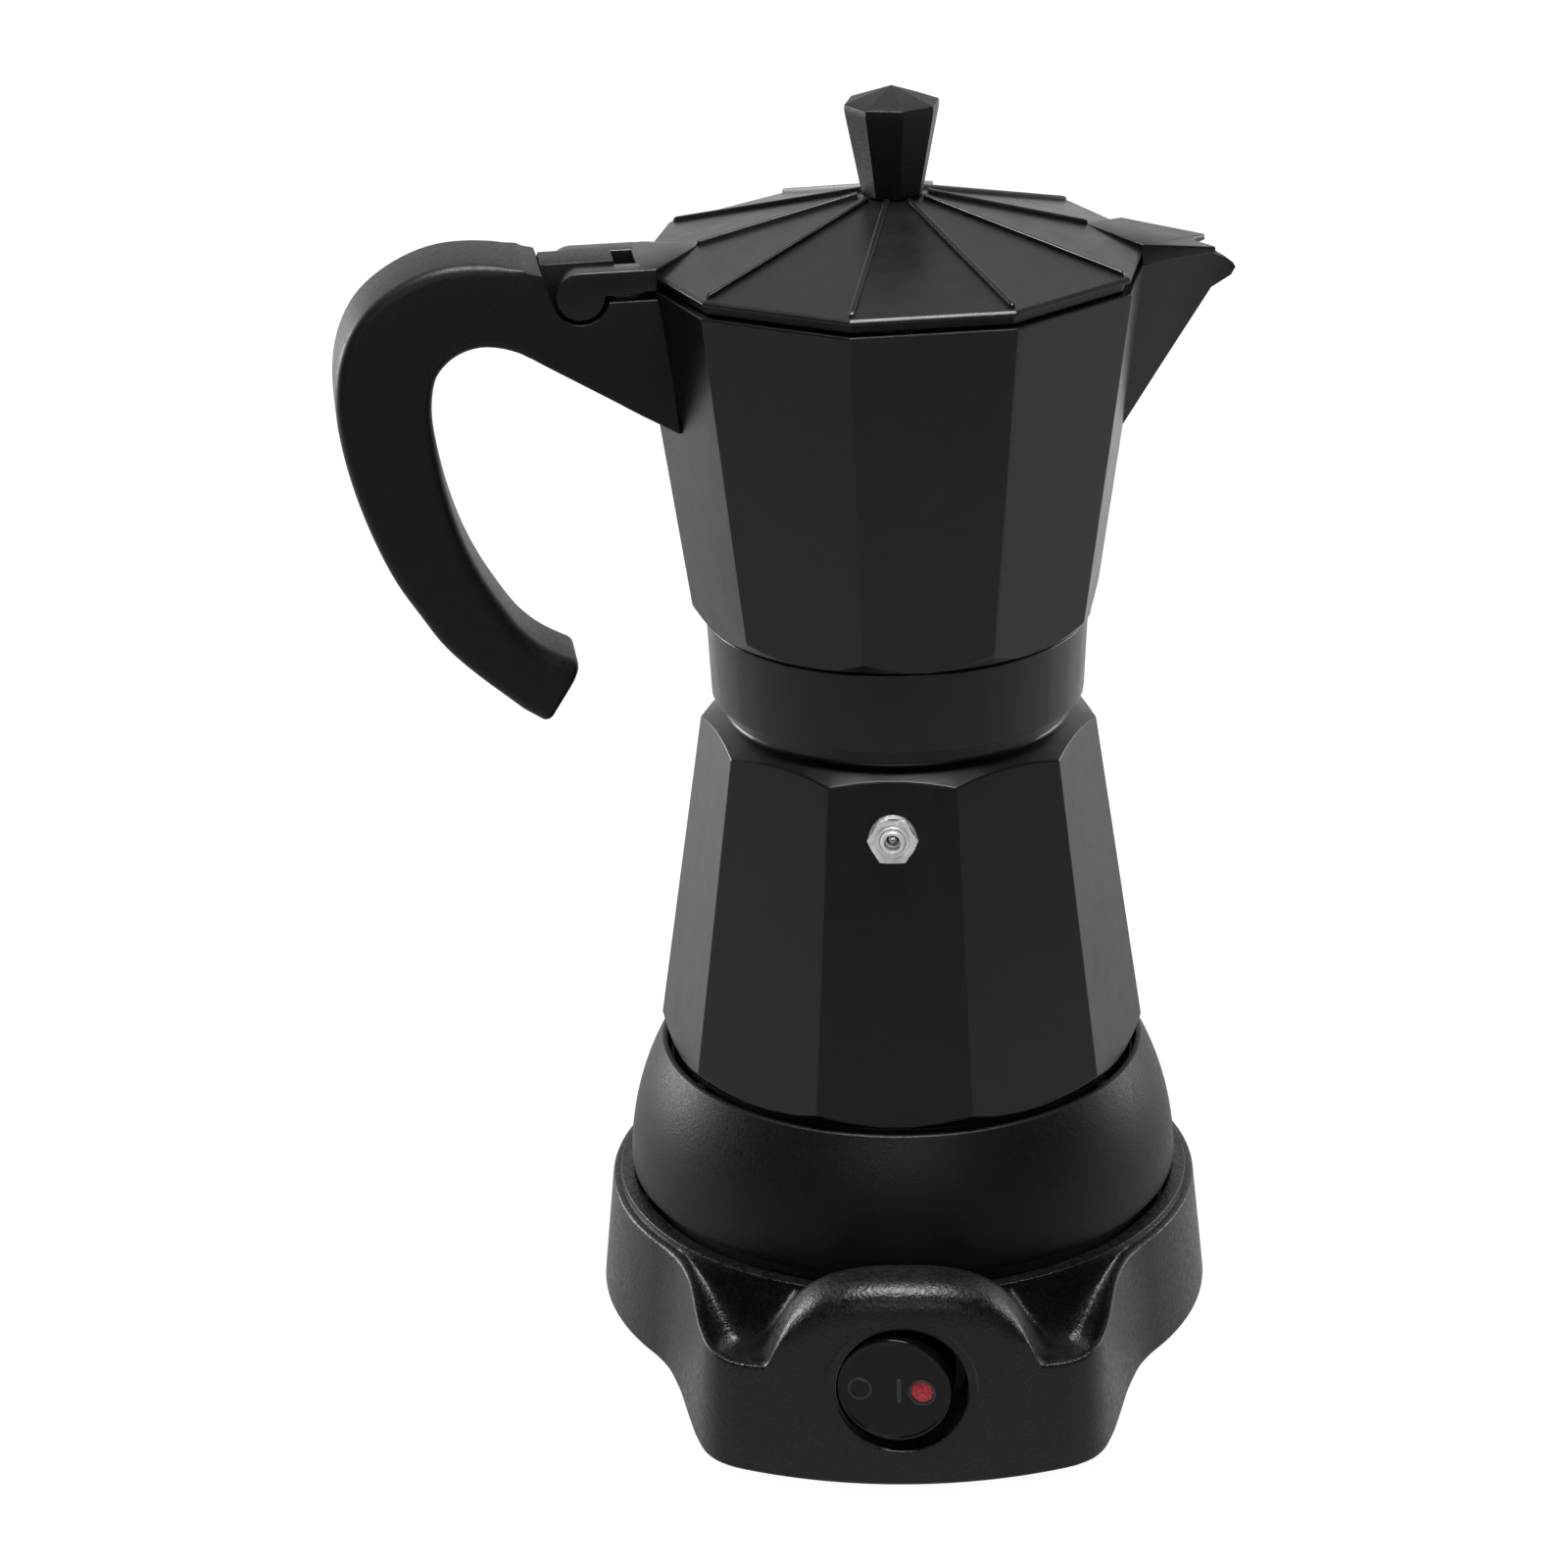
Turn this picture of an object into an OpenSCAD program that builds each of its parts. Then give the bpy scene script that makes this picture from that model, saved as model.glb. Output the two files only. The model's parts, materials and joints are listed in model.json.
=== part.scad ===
// Electric moka pot: a ten-sided coffee maker whose heated foot lifts off and turns on a round base.
// Millimetres, +Z up. The origin is on the pot's axis, on the surface that the base stands on.
// The base's switch faces -Y. The coffee chamber's frame has the spout along +X, and is turned
// about Z by chamber_turn.

/* [Pot] */
// Number of flat faces round the pot
sides = 10; // [8:2:12]
// Radius of the boiler's threaded neck
neck_r = 37.4; // [32:0.2:46]
// Ledge from the neck out to the boiler's top corners
shoulder_w = 4.3; // [3.5:0.1:6]
// How much wider the boiler's foot is than its top, on the radius
boiler_flare = 10.3; // [6:0.1:13]
// Height of the boiler's flat faces
boiler_face_h = 69.3; // [55:0.1:85]
// Height of the turned bevel at the boiler's foot
foot_bevel_h = 3; // [2:0.1:4]
// Height of the threaded neck above the boiler's shoulder
neck_h = 16; // [14:0.5:19]
// Wall of the boiler at the middle of a face
boiler_wall = 4; // [3:0.1:5]
// Thickness of the boiler's floor
boiler_floor_t = 5.4; // [4.5:0.1:8]
// Gap that shows between the boiler's shoulder and the chamber's collar
collar_gap = 6; // [4:0.1:7]
// Clearance of the screw thread, on the radius
thread_clearance = 0.06; // [0.03:0.01:0.1]
// Rise of the chamber in one turn of its thread
thread_pitch = 4; // [3:0.5:5]

/* [Coffee chamber] */
// Turn of the chamber, lid and handle about the pot's axis
chamber_turn = 9; // [-20:1:20]
// Height of the round collar
collar_h = 17.2; // [16:0.2:21]
// Wall of the collar at its lower edge
collar_wall = 1.6; // [1.4:0.1:2.4]
// How far the chamber's foot corners stand outside the neck
chamber_foot_w = 5.45; // [4.8:0.05:6.5]
// How much wider the chamber's top corners are than its foot
chamber_flare = 9.75; // [7:0.05:12]
// Height of the chamber's flat faces
chamber_face_h = 70.4; // [60:0.1:85]
// Wall of the chamber
chamber_wall = 2.6; // [2:0.1:3.4]
// Thickness of the chamber's floor
chamber_floor_t = 4; // [3:0.1:5]
// How far the spout's lip stands out from the chamber's corner
spout_reach = 18.1; // [15:0.1:22]
// Height of the spout, from the foot of its keel to the rim
spout_h = 36.6; // [30:0.1:44]
// Outer radius of the coffee column at its foot
column_r = 7.5; // [6.5:0.1:9]
// Radius of the coffee column's bore
column_bore_r = 3.6; // [3:0.1:4.2]
// Height of the coffee column above the chamber's floor
column_h = 56; // [45:0.5:60]

/* [Lid] */
// Gap between the lid and the chamber's rim
lid_gap = 0.3; // [0.2:0.1:0.6]
// Height of the band round the lid's rim
lid_band_h = 2.9; // [2.5:0.1:3.5]
// Rise of the lid's slope from its band to its knob
lid_rise = 11.6; // [10:0.1:15]
// Wall of the lid
lid_wall = 2.2; // [1.8:0.1:2.8]
// Width of the ribs along the lid's corners
rib_w = 1.3; // [1:0.1:2]
// Height of the ribs along the lid's corners
rib_h = 0.9; // [0.5:0.1:1.2]
// Half width of the hinge arms and of the plate over the spout
arm_half_w = 11; // [9.5:0.1:12]
// Height of the knob
knob_h = 22; // [17:0.5:26]
// Corner radius of the knob at its rim
knob_rim_r = 9.73; // [8.2:0.05:12]
// Corner radius of the knob at its foot
knob_foot_r = 6.65; // [6:0.05:8]
// Turn of the knob about the pot's axis
knob_turn = 13.3; // [0:0.1:45]

/* [Handle] */
// Distance from the chamber's top corners out to the hinge pin
hinge_out = 11.7; // [11:0.1:14]
// Radius of the hinge knuckles
knuckle_r = 4.8; // [4.2:0.1:5.2]
// Radius of the hinge pin
hinge_pin_r = 1.6; // [1.3:0.1:2]
// Running clearance of the hinge pin and of the switch's pivots, on the radius
pin_clearance = 0.05; // [0.02:0.01:0.08]
// Half width of the tongue between the hinge knuckles
tongue_half_w = 5; // [4.4:0.1:5.6]
// Reach of the handle from the chamber's top corners
handle_reach = 61.2; // [54:0.2:72]
// Drop of the handle's free end below the chamber's rim
handle_drop = 90; // [78:0.5:106]
// Radius of the screws that hold the handle and the knob
screw_r = 2; // [1.6:0.1:2.4]

/* [Safety valve] */
// Height of the valve above the boiler's foot
valve_h = 61.7; // [50:0.1:62]
// Corner radius of the valve's hexagon
valve_hex_r = 5.2; // [5:0.1:6.5]
// Radius of the valve's threaded shank
valve_shank_r = 3.8; // [3.6:0.1:4.2]
// Travel of the valve's pin when it blows off
valve_travel = 1; // [0.6:0.1:1.4]

/* [Filter funnel] */
// Depth of the coffee basket
basket_depth = 22; // [18:0.5:26]
// Wall of the basket and of its stem
funnel_wall = 1; // [0.8:0.1:1.2]
// Outer radius of the funnel's stem
stem_r = 5; // [4.5:0.1:6]
// Gap between the funnel's stem and the boiler's floor
stem_gap = 4; // [3:0.5:8]
// Thickness of the gasket
gasket_t = 3; // [2.5:0.1:3.5]
// Inner radius of the gasket
gasket_bore_r = 28.3; // [26.5:0.1:29]

/* [Heated foot] */
// How far the housing's lower edge stands outside the boiler's foot corners
housing_swell = 7.45; // [6.5:0.05:9]
// Height of the housing
housing_h = 29.6; // [26:0.1:34]
// Wall of the housing
housing_wall = 2.2; // [1.8:0.1:2.6]
// Middle radius of the heating element's ring
element_r = 33; // [26:0.5:34]
// Radius of the heating element's tube
element_tube_r = 4.2; // [3.6:0.1:4.6]

/* [Base] */
// Thickness of the rubber feet below the base
foot_t = 1.5; // [1:0.1:2.5]
// Height of the base from its lower edge to its seat ring
base_h = 27.5; // [26:0.5:33]
// Width of the seat ring, from the housing's edge to the skirt
ring_w = 4.7; // [4:0.1:6.5]
// How much the skirt widens towards its lower edge, on the radius
skirt_flare = 2.8; // [1.5:0.1:4]
// Depth of the well that the pot stands in
well_depth = 5; // [4.5:0.1:6]
// Wall of the base
base_wall = 2.4; // [2:0.1:3]
// Gap that shows between the seat ring and the housing
seat_gap = 2; // [1.5:0.1:3]
// Distance of the nose's front wall outside the skirt's rim
nose_reach = 28.5; // [26.5:0.1:34]
// Half width of the nose's front wall, between its rounded corners
nose_half_w = 36.6; // [33:0.1:42]
// Height of the hump over the switch, above the seat ring
hump_h = 15.5; // [13:0.1:19]
// Half width of the hump at its foot
hump_half_w = 28; // [24:0.5:31]
// Bore of the cord gland
cord_r = 3.4; // [2.8:0.1:4]
// Height of the cord gland's axis above the base's lower edge
gland_h = 10.5; // [9:0.5:12]

/* [Switch] */
// Radius of the opening round the switch
switch_hole_r = 13.6; // [11.3:0.1:14]
// Height of the switch's axis above the base's lower edge
switch_h = 21.2; // [20:0.1:24]
// Gap between the rocker and its opening, on the radius
rocker_gap = 1.8; // [1.5:0.1:2.2]
// Depth of the middle of the rocker's face behind the front wall
rocker_recess = 0.8; // [0.4:0.1:2]
// Depth of the rocker's pivot behind the front wall
pivot_depth = 8; // [6.5:0.1:9.5]
// Tilt of the rocker to each side of its middle
rocker_tilt = 8; // [5:0.5:8]

/* [Hidden] */

$fn = 96;
eps = 0.01;
fit_gap = 0.3;
half_side = 180 / sides;
in_r = cos(half_side);

// Heights of the base, from the standing surface upwards
base_z = foot_t;
ring_z = base_z + base_h;
rim_drop = 0.7;
rim_z = ring_z - rim_drop;
well_z = ring_z - well_depth;
deck_t = 2.4;
cover_t = 2;
cover_top_z = base_z + cover_t;
switch_z = base_z + switch_h;
gland_z = base_z + gland_h;

// Heights of the pot
housing_z = ring_z + seat_gap;
boiler_z = housing_z + housing_h;
bevel_top_z = boiler_z + foot_bevel_h;
shoulder_z = bevel_top_z + boiler_face_h;
shoulder_h = 1.1;
neck_z = shoulder_z + shoulder_h;
neck_top_z = neck_z + neck_h;
flange_t = 1.2;
gasket_z = neck_top_z + flange_t;
seat_z = gasket_z + gasket_t;
collar_z = neck_z + collar_gap;
collar_top_z = collar_z + collar_h;
chamber_bevel_h = 2.6;
chamber_z = collar_top_z + 0.6;
chamber_face_z = chamber_z + chamber_bevel_h;
rim_top_z = chamber_face_z + chamber_face_h;
// Room above the filter plate, where the coffee gathers below the column
gathering_h = 3.8;
chamber_floor_z = seat_z + chamber_floor_t + gathering_h;
lid_z = rim_top_z + lid_gap;
lid_edge_z = lid_z + lid_band_h;
knob_z = lid_edge_z + lid_rise;
knob_top_z = knob_z + knob_h;

// Radii of the pot. A corner radius runs to the corners between the flat faces.
boiler_top_r = neck_r + shoulder_w;
boiler_foot_r = boiler_top_r + boiler_flare;
neck_wall = 4.4;
boiler_bore_r = neck_r - neck_wall;
collar_bore_r = neck_r + thread_clearance;
collar_r = collar_bore_r + collar_wall;
collar_swell = 0.8;
chamber_foot_r = neck_r + chamber_foot_w;
chamber_top_r = chamber_foot_r + chamber_flare;
gasket_margin = 1.6;
gasket_r = neck_r - gasket_margin;
gasket_recess_r = gasket_r + fit_gap;
plate_ledge_w = 2.7;
plate_recess_r = gasket_bore_r + plate_ledge_w;
lid_r = chamber_top_r - 0.2;
housing_r = boiler_foot_r + housing_swell;
foot_face_r = boiler_foot_r * in_r + 0.15;
bevel_slope = 2.4 / foot_bevel_h;
// Height of a cone that reaches past any face of the pot
pot_reach_h = 110;

// Radii of the base
well_inset = 0.55;
well_taper = 1.3;
well_r = housing_r - well_inset;
well_floor_r = well_r - well_taper;
rim_r = well_r + ring_w;
skirt_r = rim_r + skirt_flare;
nose_r = rim_r + nose_reach;
nose_y = -nose_r;
cover_margin = 1.1;
cover_r = well_floor_r - cover_margin;

// Hinge and handle, in the chamber's frame
hinge_r = chamber_top_r + hinge_out;
hinge_z = rim_top_z;
notch_gap = 0.9;
notch_r = knuckle_r + notch_gap;
slot_half_w = tongue_half_w + fit_gap;
handle_screw_drop = 17.8;
handle_screw_z = rim_top_z - handle_screw_drop;
screw_boss_r = 5;

// Safety valve: it stands square to the middle of the boiler's front face
face_lean = atan(boiler_flare * in_r / boiler_face_h);
valve_z = bevel_top_z + valve_h - foot_bevel_h;
valve_y = -(boiler_foot_r * in_r - (valve_z - bevel_top_z) * tan(face_lean));
valve_hex_t = 2;
valve_washer_t = 0.6;

// A turned slab with its axis on Z, between two heights
module slab(r, z0, z1) {
  translate([0, 0, z0]) cylinder(r = r, h = z1 - z0);
}

// A turned cone between two heights
module taper(r0, r1, z0, z1) {
  translate([0, 0, z0]) cylinder(r1 = r0, r2 = r1, h = z1 - z0);
}

// A tapered prism with the pot's number of sides and its corner radii at two heights
module facets(r0, r1, z0, z1) {
  translate([0, 0, z0]) cylinder(r1 = r0, r2 = r1, h = z1 - z0, $fn = sides);
}

// A shape drawn in the plane of X and Z, with half its thickness to each side of that plane
module upright(half_t) {
  rotate([90, 0, 0]) linear_extrude(height = 2 * half_t, center = true) children();
}

// The least solid that holds the given points
module wrap(points) {
  hull() polyhedron(points = points, faces = [for (i = [1:len(points) - 2]) [0, i, i + 1]]);
}

// Copies on a circle, the first at the angle given
module ring_of(count, r, start = 0) {
  for (i = [0:count - 1]) rotate([0, 0, start + i * 360 / count]) translate([r, 0, 0]) children();
}

module chamber_frame() {
  rotate([0, 0, chamber_turn]) children();
}

// The safety valve's own frame: +Z points out of the boiler's face, with its origin on the face
module valve_frame() {
  translate([0, valve_y, valve_z]) rotate([90 - face_lean, 0, 0]) children();
}

// A screw standing on Z with its head below
module screw(r, length, head_r, head_t) {
  cylinder(r = r, h = length, $fn = 32);
  translate([0, 0, -head_t]) cylinder(r = head_r, h = head_t, $fn = 32);
}

// Points of a smooth curve through the inner points of a list
function curve_point(p, i, t) =
  0.5 * (2 * p[i] + (p[i + 1] - p[i - 1]) * t
         + (2 * p[i - 1] - 5 * p[i] + 4 * p[i + 1] - p[i + 2]) * t * t
         + (3 * p[i] - p[i - 1] - 3 * p[i + 1] + p[i + 2]) * t * t * t);
function curve(p, steps) =
  [for (i = [1:len(p) - 3]) for (s = [0:steps - 1]) curve_point(p, i, s / steps)];

// ---------------------------------------------------------------- base

// Plan of the nose: a front arc about the pot's axis, round corners and sides that flare to the skirt
nose_front = [for (i = [-12:12]) let (x = nose_half_w * i / 12) [x, -sqrt(pow(nose_r, 2) - x * x)]];
nose_corner_y = nose_front[24][1];
nose_side = [[nose_half_w + 4.2, nose_corner_y + 4.4], [nose_half_w + 6.1, nose_corner_y + 9.5],
             [nose_half_w + 8.0, nose_corner_y + 17.5], [nose_half_w + 9.1, nose_corner_y + 22.5],
             [nose_half_w + 11.7, nose_corner_y + 33], [nose_half_w + 15.5, nose_corner_y + 44]];
nose_plan = concat(nose_front, nose_side, [[0, 0]],
                   [for (i = [len(nose_side) - 1:-1:0]) [-nose_side[i][0], nose_side[i][1]]]);

// Cross section of the hump's arch, from its crest down past its foot
hump_top_z = ring_z + hump_h;
hump_arch = [for (i = [0:16]) let (a = 180 * i / 16)
             [hump_half_w * cos(a), hump_top_z - hump_h * 1.15 * (1 - pow(sin(a), 0.7))]];
hump_back_y = -(housing_r + 2.2);
hump_crest_y = nose_y + 14;

module hump(inset) {
  intersection() {
    translate([0, -rim_r, 0]) upright(rim_r)
      polygon(concat([for (p = hump_arch) [p[0] * (1 - inset / hump_half_w), p[1] - inset]],
                     [[-hump_half_w + inset, base_z + cover_t], [hump_half_w - inset, base_z + cover_t]]));
    rotate([0, 0, 90]) upright(hump_half_w + 1)
      polygon([[hump_back_y - inset * 0.4, base_z + 3], [hump_back_y - inset * 0.4, ring_z - inset],
               [hump_crest_y, hump_top_z], [nose_y + 7, hump_top_z - 0.6],
               [nose_y + 2.6 + inset, hump_top_z - 4.5], [nose_y + 1.6 + inset, hump_top_z - 9],
               [nose_y + 1 + inset, base_z + 3]]);
  }
}

module base_outline(inset, z0, z1) {
  translate([0, 0, z0]) linear_extrude(height = z1 - z0)
    polygon([for (p = nose_plan) p * (1 - inset / (norm(p) + eps))]);
}

base_post_r = 3.6;
small_screw_r = screw_r - 0.5;
screw_l = 9;
base_post_at = [[46, 0], [-23, 40], [-23, -40]];
nose_post_at = [[36, -66], [-36, -66]];

module base_posts(r, z0, z1) {
  for (p = concat(base_post_at, nose_post_at))
    translate([p[0], p[1], z0]) cylinder(r = r, h = z1 - z0, $fn = 32);
}

socket_r = 13.4;
socket_gap = 0.5;

module base_shell() {
  color("#1d1d1d") difference() {
    union() {
      difference() {
        union() {
          taper(skirt_r, rim_r, base_z, rim_z);
          taper(rim_r, well_r, rim_z, ring_z);
          base_outline(0, base_z, rim_z - 0.4);
          hump(0);
        }
        taper(skirt_r - base_wall, rim_r - base_wall, base_z - 1, ring_z - deck_t - well_depth);
        difference() {
          union() {
            base_outline(base_wall, base_z - 1, rim_z - 0.4 - base_wall);
            hump(base_wall);
          }
          taper(skirt_r + 1, rim_r + 0.4, base_z - 2, rim_z);
          slab(well_r + base_wall, well_z - deck_t, ring_z);
        }
        // room for the base's cover, right across
        base_outline(base_wall, base_z - 1, cover_top_z + fit_gap);
        slab(skirt_r - base_wall - fit_gap, base_z - 1, cover_top_z + fit_gap);
        // way between the round hall of the base and its nose
        translate([-hump_half_w, -rim_r - base_wall - 4, base_z - 1])
          cube([2 * hump_half_w, 12, well_z - deck_t - base_z + 1]);
      }
      intersection() {
        base_posts(base_post_r, cover_top_z, ring_z - base_wall - 1);
        union() {
          slab(well_floor_r, base_z, well_z);
          base_outline(eps, base_z, rim_z - 0.5);
        }
      }
    }
    taper(well_floor_r, well_r, well_z, ring_z + eps);
    slab(well_floor_r, well_z, well_z + eps);
    slab(socket_r, base_z, ring_z);
    base_posts(small_screw_r, base_z, well_z - deck_t);
    switch_frame() drum(switch_hole_r, nose_y - 5, nose_y + 12);
    switch_frame() drum(switch_body_r, switch_wall_y, switch_wall_y + 12);
    translate([0, rim_r - 9, gland_z]) rotate([-90, 0, 0]) cylinder(r = gland_r, h = 20);
  }
}

gland_r = cord_r + 2.2;

module cord_gland() {
  color("#151515") translate([0, skirt_r, gland_z]) rotate([-90, 0, 0]) difference() {
    union() {
      translate([0, 0, -6.5]) cylinder(r = gland_r, h = 8.5);
      cylinder(r = gland_r + 1.6, h = 2);
    }
    translate([0, 0, -7]) cylinder(r = cord_r, h = 10);
  }
}

module base_cover() {
  color("#232323") difference() {
    union() {
      slab(skirt_r - base_wall - 2 * fit_gap, base_z, cover_top_z);
      base_outline(base_wall + fit_gap, base_z, cover_top_z);
    }
    base_posts(screw_r - 0.4, base_z - 1, cover_top_z + 1);
    base_posts(screw_r + 1, base_z - 1, base_z + 1);
  }
}

module base_screws() {
  color("#b8bcc0")
    for (p = concat(base_post_at, nose_post_at))
      translate([p[0], p[1], base_z + 1]) screw(small_screw_r, screw_l, screw_r + 0.8, 0.9);
}

module rubber_feet() {
  color("#101010") {
    difference() {
      slab(well_floor_r - 0.6, 0, base_z);
      slab(well_floor_r - 5.6, -1, base_z + 1);
    }
    for (x = [-22, 22]) translate([x, nose_y + 12, 0]) cylinder(r = 5, h = foot_t, $fn = 48);
  }
}

// Round swivel connector: a pillar with a middle hole and a ring slot, each lined by a contact
socket_h = 10.5;
socket_flange_r = 18;
pin_hole_r = 3;
slot_in_r = 6;
slot_out_r = 9;
contact_depth = 8;
contact_t = 0.6;

module power_socket() {
  color("#2b2b2b") difference() {
    union() {
      slab(socket_r, well_z - deck_t, well_z + socket_h);
      slab(socket_flange_r, well_z - deck_t - 3, well_z - deck_t);
    }
    slab(pin_hole_r, well_z + socket_h - contact_depth, well_z + socket_h + 1);
    difference() {
      slab(slot_out_r, well_z + socket_h - contact_depth, well_z + socket_h + 1);
      slab(slot_in_r, well_z, well_z + socket_h + 2);
    }
  }
}

module socket_contacts() {
  color("#c9a24a") for (r = [pin_hole_r, slot_out_r]) difference() {
    slab(r, well_z + socket_h - contact_depth, well_z + socket_h - 1);
    slab(r - contact_t, well_z, well_z + socket_h);
  }
}

// ---------------------------------------------------------------- switch

switch_wall_y = nose_y + base_wall + 0.2;
switch_body_r = switch_hole_r + 1.5;
rocker_r = switch_hole_r - rocker_gap;
pivot_y = nose_y + pivot_depth;
pivot_r = 1.5;
switch_back_y = pivot_y + 9;

module switch_frame() {
  translate([0, 0, switch_z]) children();
}

// Turned about the Y axis between two depths
module drum(r, y0, y1) {
  translate([0, y0, 0]) rotate([-90, 0, 0]) cylinder(r = r, h = y1 - y0);
}

module switch_housing() {
  color("#161616") switch_frame() difference() {
    drum(switch_body_r, switch_wall_y, switch_back_y);
    drum(switch_hole_r, switch_wall_y - 1, switch_back_y - 1.6);
    translate([0, pivot_y, 0])
      cylinder(r = pivot_r + pin_clearance, h = 2 * switch_body_r + 2, center = true, $fn = 32);
    terminal_tabs(5);
  }
}

tab_w = 4.8;
tab_t = 0.8;
tab_pitch = 6;

// Three flat tabs through the back of the switch
module terminal_tabs(length) {
  for (i = [-1:1])
    translate([i * tab_pitch - tab_w / 2, switch_back_y - 3, -tab_t / 2]) cube([tab_w, length, tab_t]);
}

module switch_terminals() {
  color("#c9a24a") switch_frame() terminal_tabs(9);
}

module rocker_rest() {
  translate([0, pivot_y, 0]) rotate([0, 0, -rocker_tilt]) translate([0, -pivot_y, 0]) children();
}

rocker_face_y = nose_y + rocker_recess;
// The rocker's corners are rounded to the circle that they sweep inside the opening
rocker_sweep_r = switch_hole_r;
lamp_r = 2.4;
lamp_x = 6.1;

module rocker() {
  color("#0c0c0c") switch_frame() rocker_rest() difference() {
    union() {
      intersection() {
        drum(rocker_r, rocker_face_y, pivot_y + 2.5);
        translate([0, pivot_y, 0]) cylinder(r = rocker_sweep_r, h = 2 * rocker_r, center = true);
      }
      translate([0, pivot_y, 0]) cylinder(r = pivot_r, h = 2 * switch_body_r - 0.6, center = true, $fn = 32);
    }
    translate([lamp_x, 0, 0]) drum(lamp_r, rocker_face_y - 1, rocker_face_y + 2.5);
  }
}

module lamp_lens() {
  color("#b3121a") switch_frame() rocker_rest()
    translate([lamp_x, 0, 0]) drum(lamp_r, rocker_face_y - 0.2, rocker_face_y + 2.5);
}

// ---------------------------------------------------------------- heated foot

plug_r = 20;
plug_gap = 0.05;
plug_h = socket_h + 5;
cover_plate_t = 3.6;
cover_post_at = cover_r - 8.5;
cover_post_r = 4;
cover_sink = 1.6;
housing_screw_at = boiler_foot_r * in_r - 2.6;
flange_hole_r = element_r + 11;

module pot_plug() {
  color("#2f2f2f") difference() {
    union() {
      slab(plug_r, well_z, well_z + plug_h);
      slab(plug_r + 3, well_z + cover_plate_t + fit_gap, well_z + plug_h - 4);
    }
    slab(socket_r + socket_gap, well_z - 1, well_z + socket_h + 1.2);
    slab(plug_pin_r, well_z, well_z + plug_h + 1);
    difference() {
      slab(plug_ring_r, well_z, well_z + plug_h - 1);
      slab(plug_ring_r - contact_t, well_z, well_z + plug_h);
    }
    contact_tabs(well_z + plug_h - 2);
  }
}

plug_pin_r = 1.8;
plug_ring_r = (slot_in_r + slot_out_r) / 2 + contact_t / 2;

// Tabs that carry the ring contact up through the plug
module contact_tabs(z0) {
  for (a = [0, 180]) rotate([0, 0, a]) translate([plug_ring_r - contact_t, -tab_w / 2, z0])
    cube([contact_t, tab_w, 8]);
}

module plug_contacts() {
  color("#c9a24a") {
    slab(plug_pin_r, well_z + socket_h - 6, well_z + plug_h + 4);
    difference() {
      slab(plug_ring_r, well_z + socket_h - 6, well_z + plug_h - 1);
      slab(plug_ring_r - contact_t, well_z, well_z + plug_h);
    }
    contact_tabs(well_z + plug_h - 2);
  }
}

module housing_cover() {
  color("#202020") difference() {
    slab(cover_r, well_z, housing_z + 3);
    slab(cover_r - 2, well_z + cover_plate_t, housing_z + 4);
    slab(plug_r + plug_gap, well_z - 1, housing_z);
    ring_of(3, cover_post_at, 30) slab(screw_r - 0.3, well_z - 1, housing_z);
    ring_of(3, cover_post_at, 30) slab(screw_r + 1.2, well_z - 1, well_z + cover_sink);
  }
}

module cover_screws() {
  color("#b8bcc0") ring_of(3, cover_post_at, 30)
    translate([0, 0, well_z + cover_sink]) screw(small_screw_r, screw_l, screw_r + 1, 1.4);
}

module heater_housing() {
  color("#1a1a1a") difference() {
    union() {
      difference() {
        translate([0, 0, housing_z]) sphere(r = housing_r, $fn = 128);
        difference() {
          translate([0, 0, housing_z]) sphere(r = housing_r - housing_wall, $fn = 128);
          slab(housing_r, boiler_z - housing_wall, boiler_z + 1);
        }
      }
      ring_of(3, cover_post_at, 30) slab(cover_post_r, well_z + cover_plate_t, boiler_z - housing_wall / 2);
    }
    slab(housing_r + 1, housing_z - housing_r - 1, well_z + cover_plate_t);
    difference() {
      slab(housing_r + 1, well_z, housing_z);
      ring_of(3, cover_post_at, 30) slab(cover_post_r, well_z, housing_z + 1);
    }
    slab(housing_r, boiler_z, housing_z + housing_r + 1);
    slab(flange_hole_r, boiler_z - housing_wall - 1, boiler_z + 1);
    ring_of(3, cover_post_at, 30) slab(small_screw_r, well_z, well_z + 14);
    ring_of(3, housing_screw_at, 90) slab(screw_r - 0.3, boiler_z - 8, boiler_z + 1);
  }
}

module housing_screws() {
  color("#b8bcc0") ring_of(3, housing_screw_at, 90)
    translate([0, 0, boiler_z - housing_wall]) screw(small_screw_r, screw_l - 1, screw_r + 0.8, 1.4);
}

module heating_element() {
  color("#8c8f92") {
    rotate([0, 0, 35]) rotate_extrude(angle = 290) translate([element_r, boiler_z - element_tube_r]) {
      circle(r = element_tube_r, $fn = 32);
      translate([-element_tube_r * 0.6, 0]) square([element_tube_r * 1.2, element_tube_r]);
    }
    for (a = [38, 322]) rotate([0, 0, a]) translate([element_r, 0, boiler_z - element_tube_r - 12])
      cylinder(r = 1.8, h = 12, $fn = 32);
  }
}

module thermostat() {
  color("#c8c2b4") {
    slab(9, boiler_z - 4, boiler_z);
    slab(6.5, boiler_z - 9, boiler_z - 4);
    for (y = [-3.6, 3.6]) translate([-tab_w / 2, y - tab_t / 2, boiler_z - 15]) cube([tab_w, tab_t, 6]);
  }
}

module thermal_fuse() {
  color("#d9d4c6") translate([-18, 0, boiler_z - 2.2]) rotate([90, 0, 0]) {
    cylinder(r = 2.2, h = 13, center = true, $fn = 32);
    cylinder(r = 0.6, h = 26, center = true, $fn = 24);
  }
}

// ---------------------------------------------------------------- boiler

cavity_foot_r = boiler_foot_r * in_r - boiler_wall;
cavity_top_r = boiler_top_r * in_r - boiler_wall;

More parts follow.
